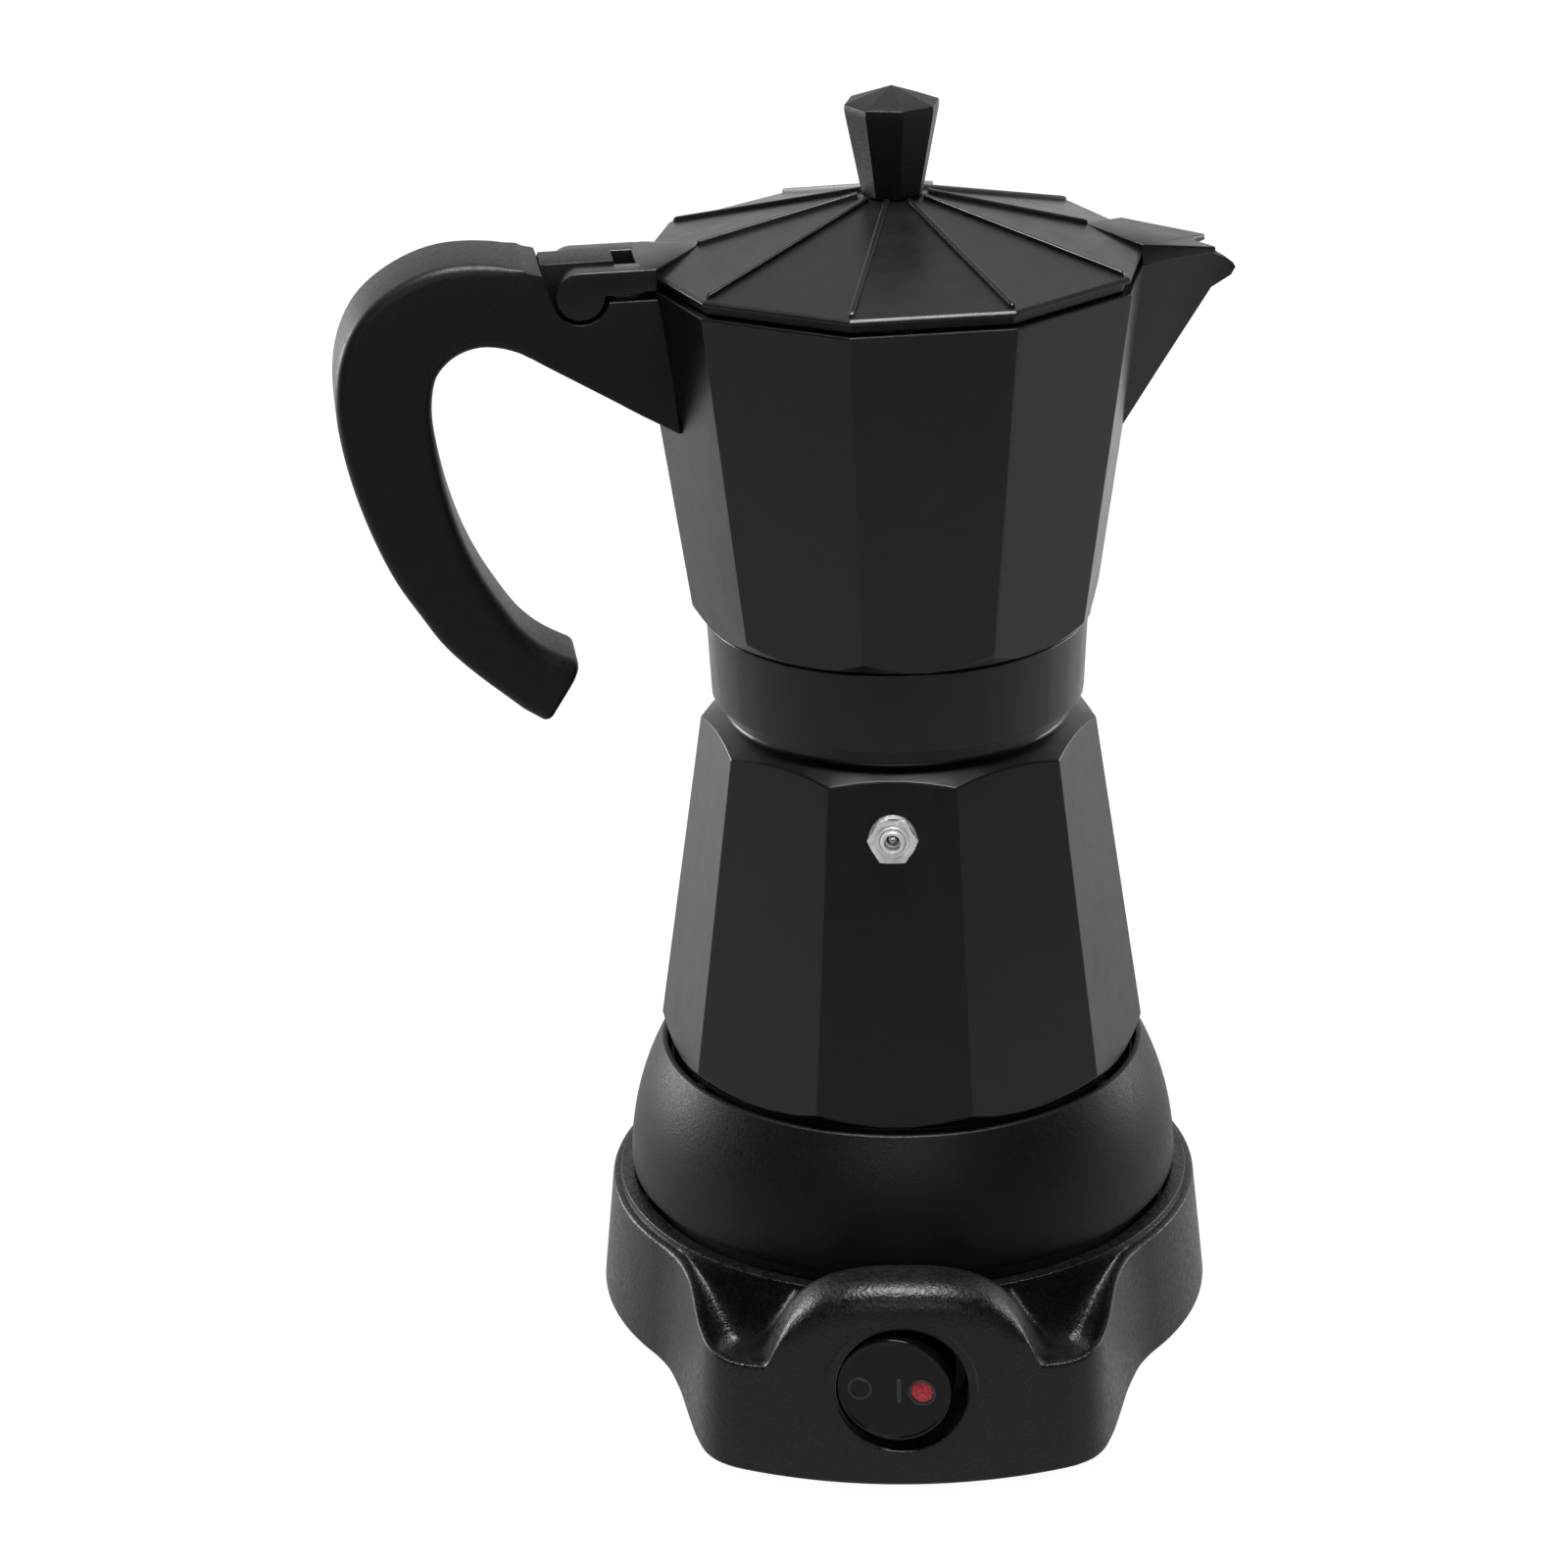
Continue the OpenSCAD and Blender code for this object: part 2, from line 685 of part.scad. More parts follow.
// Run of the turned shoulder that cuts the faces' upper ends, for each millimetre it rises
shoulder_slope = 1.64;
shoulder_top_z = neck_z + (boiler_top_r * in_r - neck_r) / shoulder_slope;

function boiler_r(z) = boiler_top_r + boiler_flare * (shoulder_z - z) / boiler_face_h;

module boiler() {
  color("#3c3c3c") difference() {
    union() {
      intersection() {
        facets(boiler_r(boiler_z), boiler_r(shoulder_top_z), boiler_z, shoulder_top_z);
        taper(foot_face_r, foot_face_r + bevel_slope * pot_reach_h, boiler_z, boiler_z + pot_reach_h);
        taper(neck_r + shoulder_slope * (shoulder_top_z - boiler_z), neck_r, boiler_z, shoulder_top_z);
      }
      slab(neck_r, shoulder_z, neck_top_z);
    }
    taper(cavity_foot_r, cavity_top_r, boiler_z + boiler_floor_t, shoulder_z);
    slab(boiler_bore_r, shoulder_z - 4, neck_top_z + 1);
    valve_frame() cylinder(r = valve_shank_r, h = 40, center = true);
    ring_of(3, housing_screw_at, 90) slab(small_screw_r, boiler_z - 1, boiler_z + 7);
  }
}

valve_bore_r = 1.25;
valve_room_r = 2.7;
valve_nose_r = 2.6;
valve_inner_l = boiler_wall + 5;
valve_plug_z = -valve_inner_l + 1.2;
valve_room_top_z = 1.2;

module valve_washer() {
  color("#a9acae") valve_frame() difference() {
    cylinder(r = valve_hex_r - 0.1, h = valve_washer_t);
    translate([0, 0, -1]) cylinder(r = valve_shank_r, h = 3);
  }
}

module valve_body() {
  color("#d8d8d8") valve_frame() translate([0, 0, valve_washer_t]) difference() {
    union() {
      cylinder(r = valve_hex_r, h = valve_hex_t, $fn = 6);
      cylinder(r = valve_shank_r - 0.1, h = valve_hex_t + 0.5);
      cylinder(r = valve_nose_r, h = valve_hex_t + 1.3);
      translate([0, 0, -valve_washer_t - valve_inner_l])
        cylinder(r = valve_shank_r, h = valve_inner_l + valve_washer_t);
    }
    translate([0, 0, -valve_inner_l - 2]) cylinder(r = valve_bore_r, h = valve_inner_l + 10);
    translate([0, 0, valve_plug_z - valve_washer_t])
      cylinder(r = valve_room_r, h = valve_room_top_z - valve_plug_z);
  }
}

module valve_pin() {
  color("#7a7a7a") valve_frame() {
    translate([0, 0, valve_plug_z]) cylinder(r = valve_room_r - fit_gap, h = valve_plug_t);
    translate([0, 0, valve_plug_z])
      cylinder(r = valve_bore_r - 0.07, h = valve_washer_t + valve_hex_t + 1.1 - valve_plug_z);
  }
}

valve_plug_t = 1.4;
valve_spring_z0 = valve_plug_z + valve_plug_t;
valve_spring_z1 = valve_room_top_z - 2 * eps;
spring_r = 1.9;
spring_wire_r = 0.28;
spring_turns = 5;
spring_steps = 16;

// A round wire wound on Z: rings of points about the coil's middle line, joined into one skin
module coil(r, wire_r, turns, length) {
  n = turns * spring_steps;
  corners = 8;
  rings = [for (i = [0:n]) for (k = [0:corners - 1])
    let (a = 360 * i / spring_steps, b = 360 * k / corners, s = r + wire_r * cos(b))
    [s * cos(a), s * sin(a), wire_r + (length - 2 * wire_r) * i / n + wire_r * sin(b)]];
  skin = [for (i = [0:n - 1]) for (k = [0:corners - 1])
    let (k1 = (k + 1) % corners)
    [i * corners + k, i * corners + k1, (i + 1) * corners + k1, (i + 1) * corners + k]];
  polyhedron(points = rings, faces = concat(skin,
    [[for (k = [corners - 1:-1:0]) k], [for (k = [0:corners - 1]) n * corners + k]]));
}

module valve_spring() {
  color("#9a9a9a") valve_frame() translate([0, 0, valve_spring_z0])
    coil(spring_r, spring_wire_r, spring_turns, valve_spring_z1 - valve_spring_z0);
}

// ---------------------------------------------------------------- filter funnel

basket_r = boiler_bore_r - 0.5;
basket_z = neck_top_z - basket_depth;
stem_z = boiler_z + boiler_floor_t + stem_gap;

module perforations(rows, pitch, r, z0, z1) {
  slab(r, z0, z1);
  for (row = [1:rows]) ring_of(6 * row, pitch * row) slab(r, z0, z1, $fn = 16);
}

module funnel() {
  color("#c9cbcd") difference() {
    union() {
      slab(neck_r - 2, neck_top_z, gasket_z);
      slab(basket_r, basket_z, gasket_z);
      taper(stem_r, stem_r + 5, basket_z - 5, basket_z);
      slab(stem_r, stem_z, basket_z);
    }
    slab(basket_r - funnel_wall, basket_z + 1.2, gasket_z + 1);
    slab(stem_r - funnel_wall, stem_z - 1, basket_z + 2);
    taper(stem_r - funnel_wall, stem_r + 4, basket_z - 4.6, basket_z + eps);
    slab(stem_r + 4, basket_z, basket_z + 2);
  }
}

module funnel_strainer() {
  color("#d5d7d9") difference() {
    slab(basket_r - funnel_wall, basket_z + 1.2, basket_z + 2);
    perforations(4, 6, 0.8, basket_z, basket_z + 3);
  }
}

module gasket() {
  color("#e6e3da") difference() {
    slab(gasket_r, gasket_z, seat_z);
    slab(gasket_bore_r, gasket_z - 1, seat_z + 1);
  }
}

module filter_plate() {
  color("#d5d7d9") difference() {
    union() {
      slab(plate_recess_r - 0.5, seat_z, seat_z + 0.8);
      slab(gasket_bore_r - fit_gap, gasket_z + 0.5, seat_z + 0.8);
    }
    slab(gasket_bore_r - fit_gap - 0.8, gasket_z + 1.2, seat_z + 1);
    perforations(4, 5.5, 0.8, gasket_z, seat_z);
  }
}

// ---------------------------------------------------------------- coffee chamber

// Corner radius of the chamber's faces at a height, set in by a wall
function chamber_r(z, wall = 0) =
  chamber_foot_r + chamber_flare * (z - chamber_face_z) / chamber_face_h - wall / in_r;

spout_tip_x = chamber_top_r + spout_reach;
spout_half_w = arm_half_w;
spout_root_x = chamber_top_r - spout_half_w * tan(half_side) - 0.3;
spout_keel_z = rim_top_z - spout_h;

// The spout's faces, set in by a wall: the keel, the lip, and the corners at the rim
function spout_points(wall) = [
  [chamber_r(spout_keel_z) - 4, 0, spout_keel_z + wall * 2.2 - 6],
  [chamber_r(spout_keel_z), 0, spout_keel_z + wall * 2.2],
  [spout_tip_x - 5 - wall * 1.2, 0, rim_top_z - 8.3 + wall * 1.2],
  [spout_tip_x - 0.8 - wall * 0.6, 0, rim_top_z - 5.9 + wall * 1.6],
  [spout_tip_x, 0, rim_top_z - 4.3 + wall],
  [spout_tip_x - 0.5, 0, rim_top_z - 3.5 + wall * 1.4],
  [spout_tip_x - 6, 3 - wall * 0.55, rim_top_z + wall],
  [spout_tip_x - 6, -3 + wall * 0.55, rim_top_z + wall],
  [spout_root_x, spout_half_w - wall * 1.2, rim_top_z + wall],
  [spout_root_x, -spout_half_w + wall * 1.2, rim_top_z + wall],
  [spout_root_x - 6, spout_half_w - wall * 1.2, rim_top_z + wall],
  [spout_root_x - 6, -spout_half_w + wall * 1.2, rim_top_z + wall]];

column_seat_r = column_r - 1.5;
chamber_bevel_r = chamber_foot_r * in_r - 0.2;
chamber_bevel_slope = 2.2 / chamber_bevel_h;

module chamber_outside() {
  intersection() {
    facets(chamber_r(chamber_z), chamber_top_r, chamber_z, rim_top_z);
    taper(chamber_bevel_r, chamber_bevel_r + chamber_bevel_slope * pot_reach_h,
          chamber_z, chamber_z + pot_reach_h);
  }
}

module upper_chamber() {
  color("#3a3a3a") chamber_frame() difference() {
    union() {
      difference() {
        union() {
          chamber_outside();
          wrap(spout_points(0));
        }
        facets(chamber_r(chamber_floor_z, chamber_wall), chamber_r(rim_top_z + 1, chamber_wall),
               chamber_floor_z, rim_top_z + 1);
        wrap(spout_points(chamber_wall * 0.7));
      }
      taper(collar_r, collar_r + collar_swell, collar_z, chamber_z + 0.5);
      slab(column_r + 2.5, chamber_floor_z - 1, chamber_floor_z + 3);
      // boss for the handle's screw
      translate([-chamber_r(handle_screw_z) - 2.5, 0, handle_screw_z]) rotate([0, 90, 0])
        cylinder(r = screw_boss_r, h = 6.5);
    }
    slab(collar_bore_r, collar_z - 1, neck_top_z + 0.6);
    slab(gasket_recess_r, collar_z, seat_z + eps);
    slab(plate_recess_r, seat_z - 1, seat_z + 2.2);
    taper(plate_recess_r, column_seat_r, seat_z + 2.2, chamber_floor_z - 1.6);
    slab(column_seat_r, chamber_floor_z - 3, chamber_floor_z + 4);
    translate([-chamber_r(handle_screw_z) - 6, 0, handle_screw_z]) rotate([0, 90, 0])
      cylinder(r = screw_r, h = 9, $fn = 32);
  }
}

module coffee_column() {
  color("#b5b7b9") chamber_frame() difference() {
    union() {
      slab(column_seat_r, chamber_floor_z - 1.6, chamber_floor_z + 3);
      taper(column_r, column_r - 2.2, chamber_floor_z + 3, chamber_floor_z + column_h);
    }
    slab(column_bore_r, chamber_floor_z - 3, chamber_floor_z + column_h - 4);
    for (a = [45, 225]) rotate([0, 0, a]) translate([0, 0, chamber_floor_z + column_h - 8.5])
      rotate([0, 90, 0]) cylinder(r = 2.2, h = 10, $fn = 32);
  }
}

// ---------------------------------------------------------------- handle

// Side outline of the handle, as shares of its reach and its drop from the chamber's top corner.
// It starts under the root, runs down the grip's inner side, round the free end, and back up.
function at_handle(p) = [-(chamber_top_r + handle_reach * p[0]), rim_top_z - handle_drop * p[1]];
grip_inner = [[-0.10, 0.325], [0.366, 0.137], [0.46, 0.112], [0.572, 0.114], [0.647, 0.152], [0.687, 0.204],
              [0.69, 0.257], [0.676, 0.348], [0.649, 0.458], [0.61, 0.553], [0.556, 0.64], [0.495, 0.713],
              [0.431, 0.778], [0.378, 0.814], [0.322, 0.842], [0.282, 0.854]];
grip_end = [[0.256, 0.866], [0.27, 0.889], [0.336, 0.955], [0.367, 0.984]];
grip_outer = [[0.395, 0.993], [0.549, 0.939], [0.704, 0.812], [0.851, 0.629], [0.935, 0.463], [0.975, 0.301],
              [0.98, 0.188], [0.944, 0.1], [0.879, 0.024], [0.765, -0.038], [0.637, -0.07], [0.479, -0.0755],
              [0.38, -0.071], [0.322, -0.06]];
grip_line = concat([[-0.4, 0.42]], grip_inner, grip_end, grip_outer, [[0.2, 0]]);
grip_curve = curve([for (p = grip_line) at_handle(p)], 4);

// Gap between the chamber's corner and the tongue that fills the lid's slot
tongue_gap = 4.2;

module handle() {
  color("#1b1b1b") chamber_frame() difference() {
    union() {
      difference() {
        upright(arm_half_w)
          polygon(concat([[-chamber_top_r + 6, rim_top_z - 1.4]], [[-chamber_top_r + 8, rim_top_z - 30]],
                         grip_curve, [[-hinge_r - notch_r, rim_top_z - 1.4]]));
        translate([-hinge_r, 0, hinge_z]) rotate([90, 0, 0])
          cylinder(r = notch_r, h = 3 * arm_half_w, center = true);
      }
      upright(tongue_half_w)
        polygon([[-chamber_top_r - tongue_gap, rim_top_z - 8], [-chamber_top_r - tongue_gap, rim_top_z + 5.5],
                 [-hinge_r - knuckle_r - 1.1, rim_top_z + 5.5], [-hinge_r - knuckle_r - 6, rim_top_z - 8]]);
    }
    chamber_clear();
    translate([-hinge_r, 0, hinge_z]) rotate([90, 0, 0])
      cylinder(r = hinge_pin_r, h = 3 * arm_half_w, center = true, $fn = 48);
    translate([-chamber_r(handle_screw_z) - 2.5, 0, handle_screw_z]) rotate([0, 90, 0])
      cylinder(r = screw_boss_r, h = 20);
    translate([-chamber_r(handle_screw_z) - 12, 0, handle_screw_z]) rotate([0, 90, 0])
      cylinder(r = screw_r, h = 20, $fn = 32);
    translate([-chamber_r(handle_screw_z) - 30, 0, handle_screw_z]) rotate([0, 90, 0])
      cylinder(r = screw_r + 1.6, h = 20, $fn = 32);
  }
}

// The chamber's outside with room for the parts that lie against it
module chamber_clear() {
  facets(chamber_r(chamber_face_z) + 0.06, chamber_r(rim_top_z + 20) + 0.06, chamber_face_z, rim_top_z + 20);
}

module handle_screw() {
  color("#b8bcc0") chamber_frame() translate([-chamber_r(handle_screw_z) - 10, 0, handle_screw_z])
    rotate([0, 90, 0]) screw(screw_r, 13, screw_r + 1.4, 2);
}

module hinge_pin() {
  color("#c2c4c6") chamber_frame() translate([-hinge_r, 0, hinge_z]) rotate([90, 0, 0])
    cylinder(r = hinge_pin_r, h = 2 * arm_half_w - 1, center = true, $fn = 48);
}

// ---------------------------------------------------------------- lid

lid_top_r = 7;
lid_slope = lid_rise / (lid_r - lid_top_r);

// Height of the lid's corner ridges at a distance from the axis
function lid_height(r) = lid_edge_z + (lid_r - r) * lid_slope;

arm_top_z = rim_top_z + knuckle_r;
arm_root_r = chamber_top_r - arm_half_w * tan(half_side);
// Rise of the arm's and the plate's points above the arm's flat top
apex_rise = 1.8;
arm_apex_r = lid_r - (arm_top_z + apex_rise - lid_edge_z) / lid_slope;
plate_tip_x = spout_tip_x - 5.4;
plate_tip_half_w = 5.4;
plate_notch_half_w = 4.6;
plate_notch_l = 3.6;

module lid_rib(r0, r1) {
  upright(rib_w / 2)
    polygon([[r0, lid_height(r0) - 1], [r0, lid_height(r0) + rib_h], [r1, lid_height(r1) + rib_h],
             [r1 + 1, lid_height(r1) - 1]]);
}

// The lid's ten-sided roof: a straight band with a slope above it
module lid_roof(r, top_r, z0, z1, z2) {
  hull() {
    facets(r, r, z0, z1);
    facets(r, top_r, z1, z2);
  }
}

// A flat plate that widens from a point on a ridge to the rim: a plan cut by a side profile
module ridge_plate(plan, profile) {
  intersection() {
    translate([0, 0, lid_z - 1]) linear_extrude(height = 20) polygon(plan);
    upright(2 * arm_half_w) polygon(profile);
  }
}

// Notch that opens to the corners of the plate's tip and is rounded at its inner end
module plate_notch() {
  in_x = plate_tip_x - plate_notch_l;
  half = [[0, 0.28], [0.05, 0.42], [0.18, 0.53], [1, 1], [1.4, 1]];
  outline = [for (p = half) [in_x + plate_notch_l * p[0], plate_notch_half_w * p[1]]];
  translate([0, 0, rim_top_z - 1]) linear_extrude(height = arm_top_z - rim_top_z + 2)
    polygon(concat(outline, [for (i = [len(outline) - 1:-1:0]) [outline[i][0], -outline[i][1]]]));
}

module lid() {
  color("#4a4a4a") chamber_frame() difference() {
    union() {
      difference() {
        lid_roof(lid_r, lid_top_r, lid_z, lid_edge_z, knob_z);
        lid_roof(lid_r - lid_wall, lid_top_r - lid_wall, lid_z - 1, lid_edge_z - lid_wall, knob_z - lid_wall);
      }
      slab(lid_top_r + 1, knob_z - 5, knob_z - 1);
      for (i = [0:sides - 1]) rotate([0, 0, i * 360 / sides])
        lid_rib(knob_foot_r + 0.6, (i % (sides / 2) == 0) ? arm_apex_r + 1 : lid_r - 2);
      // plate over the spout
      ridge_plate([[arm_apex_r, 0], [arm_root_r, -arm_half_w], [plate_tip_x, -plate_tip_half_w],
                   [plate_tip_x, plate_tip_half_w], [arm_root_r, arm_half_w]],
                  [[arm_apex_r - 1, lid_z + 4.4], [arm_root_r - 4, lid_z], [plate_tip_x + 1, lid_z],
                   [plate_tip_x + 1, arm_top_z - 3.7], [arm_root_r, arm_top_z - 0.4],
                   [arm_apex_r, arm_top_z + apex_rise], [arm_apex_r - 1, arm_top_z + apex_rise]]);
      // hinge arm
      ridge_plate([[-arm_apex_r, 0], [-arm_root_r, arm_half_w], [-hinge_r, arm_half_w],
                   [-hinge_r, -arm_half_w], [-arm_root_r, -arm_half_w]],
                  [[1 - arm_apex_r, lid_z + 4.4], [4 - arm_root_r, lid_z], [-hinge_r - 1, lid_z],
                   [-hinge_r - 1, arm_top_z], [-arm_root_r, arm_top_z],
                   [-arm_apex_r, arm_top_z + apex_rise], [1 - arm_apex_r, arm_top_z + apex_rise]]);
      translate([-hinge_r, 0, hinge_z]) rotate([90, 0, 0])
        cylinder(r = knuckle_r, h = 2 * arm_half_w, center = true);
    }
    translate([-hinge_r - 20, -slot_half_w, rim_top_z - 20])
      cube([hinge_r + 20 - chamber_top_r + 0.6, 2 * slot_half_w, 40]);
    translate([-hinge_r, 0, hinge_z]) rotate([90, 0, 0])
      cylinder(r = hinge_pin_r + pin_clearance, h = 3 * arm_half_w, center = true, $fn = 48);
    slab(screw_r, rim_top_z, knob_z + 1);
    plate_notch();
  }
}

module lid_knob() {
  color("#161616") rotate([0, 0, knob_turn]) difference() {
    union() {
      translate([0, 0, knob_z]) cylinder(r1 = knob_foot_r, r2 = knob_rim_r, h = knob_h - 4.6, $fn = 8);
      translate([0, 0, knob_top_z - 4.6]) cylinder(r = knob_rim_r, h = 1.3, $fn = 8);
      translate([0, 0, knob_top_z - 3.3]) cylinder(r1 = knob_rim_r, r2 = 0.4, h = 3.3, $fn = 8);
    }
    slab(screw_r, knob_z - 2, knob_z + 12);
  }
}

module knob_screw() {
  color("#b8bcc0") translate([0, 0, knob_z - 5]) screw(screw_r, 16, screw_r + 2.4, 1.6);
}

rubber_feet();
base_cover();
base_screws();
base_shell();
cord_gland();
power_socket();
socket_contacts();
switch_housing();
switch_terminals();
rocker();
lamp_lens();
pot_plug();
plug_contacts();
housing_cover();
cover_screws();
heater_housing();
housing_screws();
heating_element();
thermostat();
thermal_fuse();
boiler();
valve_washer();
valve_body();
valve_spring();
valve_pin();
funnel();
funnel_strainer();
gasket();
filter_plate();
upper_chamber();
coffee_column();
handle();
handle_screw();
hinge_pin();
lid();
lid_knob();
knob_screw();
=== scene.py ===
"""Looks of the electric moka pot: satin black coated pot, grained plastic foot, base and handle."""
import json
import math
import bmesh
import bpy
import numpy as np
from mathutils import Matrix, Vector

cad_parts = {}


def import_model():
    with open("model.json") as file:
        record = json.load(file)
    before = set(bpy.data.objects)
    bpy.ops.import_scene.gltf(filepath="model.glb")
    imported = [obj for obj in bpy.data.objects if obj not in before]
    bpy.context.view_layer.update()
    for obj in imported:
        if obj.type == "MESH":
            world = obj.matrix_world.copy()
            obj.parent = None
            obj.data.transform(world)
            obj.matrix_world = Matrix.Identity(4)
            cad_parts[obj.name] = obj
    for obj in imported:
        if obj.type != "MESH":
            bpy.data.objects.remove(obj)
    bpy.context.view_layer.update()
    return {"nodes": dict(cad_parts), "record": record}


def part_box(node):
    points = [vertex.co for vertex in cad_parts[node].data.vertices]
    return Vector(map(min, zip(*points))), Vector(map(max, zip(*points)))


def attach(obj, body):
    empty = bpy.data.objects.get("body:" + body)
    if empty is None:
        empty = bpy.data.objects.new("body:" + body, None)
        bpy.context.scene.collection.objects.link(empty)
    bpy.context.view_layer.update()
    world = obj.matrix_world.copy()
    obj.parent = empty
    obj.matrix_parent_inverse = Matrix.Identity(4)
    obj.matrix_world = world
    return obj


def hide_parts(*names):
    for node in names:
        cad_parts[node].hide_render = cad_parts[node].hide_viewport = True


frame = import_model()

MM = 0.001


def box_mm(node):
    """Lowest and highest corner of a CAD node, in millimetres."""
    low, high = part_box(node)
    return np.array(low) / MM, np.array(high) / MM


# ---------- sizes, in millimetres
# Z is a height and R a radius, which for a ten-sided piece is that of its corners.
SIDES = 10
HALF = math.pi / SIDES
IN = math.cos(HALF)
CHAMBER_TURN = math.radians(9)

BOILER_LOW, BOILER_HIGH = box_mm("boiler")
BASE_Z = box_mm("base_shell")[0][2]
RING_Z = BASE_Z + 27.5
RIM_Z = RING_Z - 0.7
WELL_Z = RING_Z - 5
HOUSING_TOP_Z = box_mm("heater_housing")[1][2]
HOUSING_Z = HOUSING_TOP_Z - 29.6
BOILER_Z = BOILER_LOW[2]
NECK_TOP_Z = BOILER_HIGH[2]
BOILER_FOOT_R = BOILER_HIGH[0]
BEVEL_TOP_Z = BOILER_Z + 3
FACE_H, FACE_LEAN = 69.3, 10.3
SHOULDER_Z = BEVEL_TOP_Z + FACE_H
NECK_Z = SHOULDER_Z + 1.1
BOILER_TOP_R = BOILER_FOOT_R - FACE_LEAN
NECK_R = BOILER_TOP_R - 4.3
SHOULDER_SLOPE = 1.64
SHOULDER_TOP_Z = NECK_Z + (BOILER_TOP_R * IN - NECK_R) / SHOULDER_SLOPE
BOILER_TURN = math.radians(-1.6)
COLLAR_Z = box_mm("upper_chamber")[0][2]
COLLAR_TOP_Z = COLLAR_Z + 17.2
CHAMBER_Z = COLLAR_TOP_Z + 0.6
CHAMBER_FACE_Z = CHAMBER_Z + 2.6
RIM_TOP_Z = CHAMBER_FACE_Z + 70.4
CHAMBER_FOOT_R = NECK_R + 5.45
CHAMBER_TOP_R = CHAMBER_FOOT_R + 9.75
LID_Z = RIM_TOP_Z + 0.3
LID_EDGE_Z = LID_Z + 2.9
KNOB_Z, KNOB_TOP_Z = (corner[2] for corner in box_mm("lid_knob"))
LID_R = CHAMBER_TOP_R - 0.2
LID_TOP_R = 7
LID_TOP_Z = KNOB_Z - 0.2
LID_SLOPE = (LID_TOP_Z - LID_EDGE_Z) / (LID_R - LID_TOP_R)
KNOB_R = 9.73
KNOB_FOOT_R = 6.25
KNOB_TURN = math.radians(13.3)
HINGE_R = CHAMBER_TOP_R + 11.7
HINGE_Z = RIM_TOP_Z
KNUCKLE_R = 4.9
ARM_HALF_W = 11
ARM_TOP_Z = RIM_TOP_Z + 4.8
ARM_ROOT_R = CHAMBER_TOP_R - ARM_HALF_W * math.tan(HALF)
APEX_R = LID_R - 13.3
PLATE_TIP_X = CHAMBER_TOP_R + 12.7
HOUSING_R = BOILER_FOOT_R + 7.45
WELL_R = HOUSING_R - 0.55
RING_R = WELL_R + 3.2
RIM_R = WELL_R + 4.7
SKIRT_R = RIM_R + 2.8
RIDGE_W = 2.0
NOSE_R = RIM_R + 28.5
NOSE_DRAFT = 0.065
SOCKET_HOLE_R = 13.4
SWITCH_X, SWITCH_Z = -0.35, BASE_Z + 21.2
SWITCH_HOLE_R = 13.5
LAMP_X = 5.75


# ---------- meshes
def turned(points, angle):
    """The points turned about Z by an angle: x' = x cos - y sin, y' = x sin + y cos."""
    c, s = math.cos(angle), math.sin(angle)
    p = np.asarray(points, float)
    return np.stack([p[..., 0] * c - p[..., 1] * s, p[..., 0] * s + p[..., 1] * c, p[..., 2]], -1)


def soften(keys, reach, steps=4):
    """Rows of points that run through key rows with each inner corner rounded.

    keys is a list of rows, each a grid row of points or one point for all columns. A corner K is
    replaced by the curve (1-t)^2 A + 2 t (1-t) K + t^2 B, where A and B lie at the reach from K
    on its two neighbours' sides, with one more row just outside A and B to keep the flats flat.
    """
    keys = [np.asarray(k, float).reshape(-1, 3) for k in keys]
    columns = max(len(k) for k in keys)
    keys = [np.broadcast_to(k, (columns, 3)) for k in keys]
    t = np.linspace(0, 1, steps + 1)[:, None, None]
    rows = [keys[0][None]]
    for i, k in enumerate(keys[1:-1], 1):
        before, after = keys[i - 1] - k, keys[i + 1] - k
        long_a = np.linalg.norm(before, axis=-1, keepdims=True) + 1e-9
        long_b = np.linalg.norm(after, axis=-1, keepdims=True) + 1e-9
        r = np.minimum(reach[i - 1], 0.46 * np.minimum(long_a, long_b))
        a, b = k + before / long_a * r, k + after / long_b * r
        curve = (1 - t) ** 2 * a + 2 * t * (1 - t) * k + t ** 2 * b
        rows += [(a + before / long_a * r * 0.08)[None], curve, (b + after / long_b * r * 0.08)[None]]
    rows.append(keys[-1][None])
    return np.concatenate(rows, 0)


def revolve(profile, columns):
    """Rows of a turned shape: each profile point (r, z) becomes a circle of radius r at height z."""
    a = np.arange(columns) * 2 * math.pi / columns
    r, z = np.asarray(profile, float).T
    return np.stack([np.outer(r, np.cos(a)), np.outer(r, np.sin(a)),
                     np.repeat(z[:, None], columns, 1)], -1)


def turned_profile(points, reach, steps=4):
    """A profile of (r, z) points with its corners rounded."""
    keys = [[r, 0, z] for r, z in points]
    return soften(keys, reach, steps)[:, 0][:, [0, 2]]


def drawn_in(rows):
    """Rows whose points all lie at their row's middle, to close a grid's end."""
    return rows.mean(1, keepdims=True).repeat(rows.shape[1], 1)


def quads(rows, columns, close_rows, close_columns):
    """Corner numbers of the quads between neighbouring rows and columns of a grid."""
    i = np.arange(rows if close_rows else rows - 1)[:, None]
    j = np.arange(columns if close_columns else columns - 1)[None]
    i1, j1 = (i + 1) % rows, (j + 1) % columns
    corners = [i * columns + j, i * columns + j1, i1 * columns + j1, i1 * columns + j]
    return np.stack(corners, -1).reshape(-1, 4)


def added(name, data):
    """A new object of the scene that holds the data."""
    thing = bpy.data.objects.new(name, data)
    bpy.context.scene.collection.objects.link(thing)
    return thing


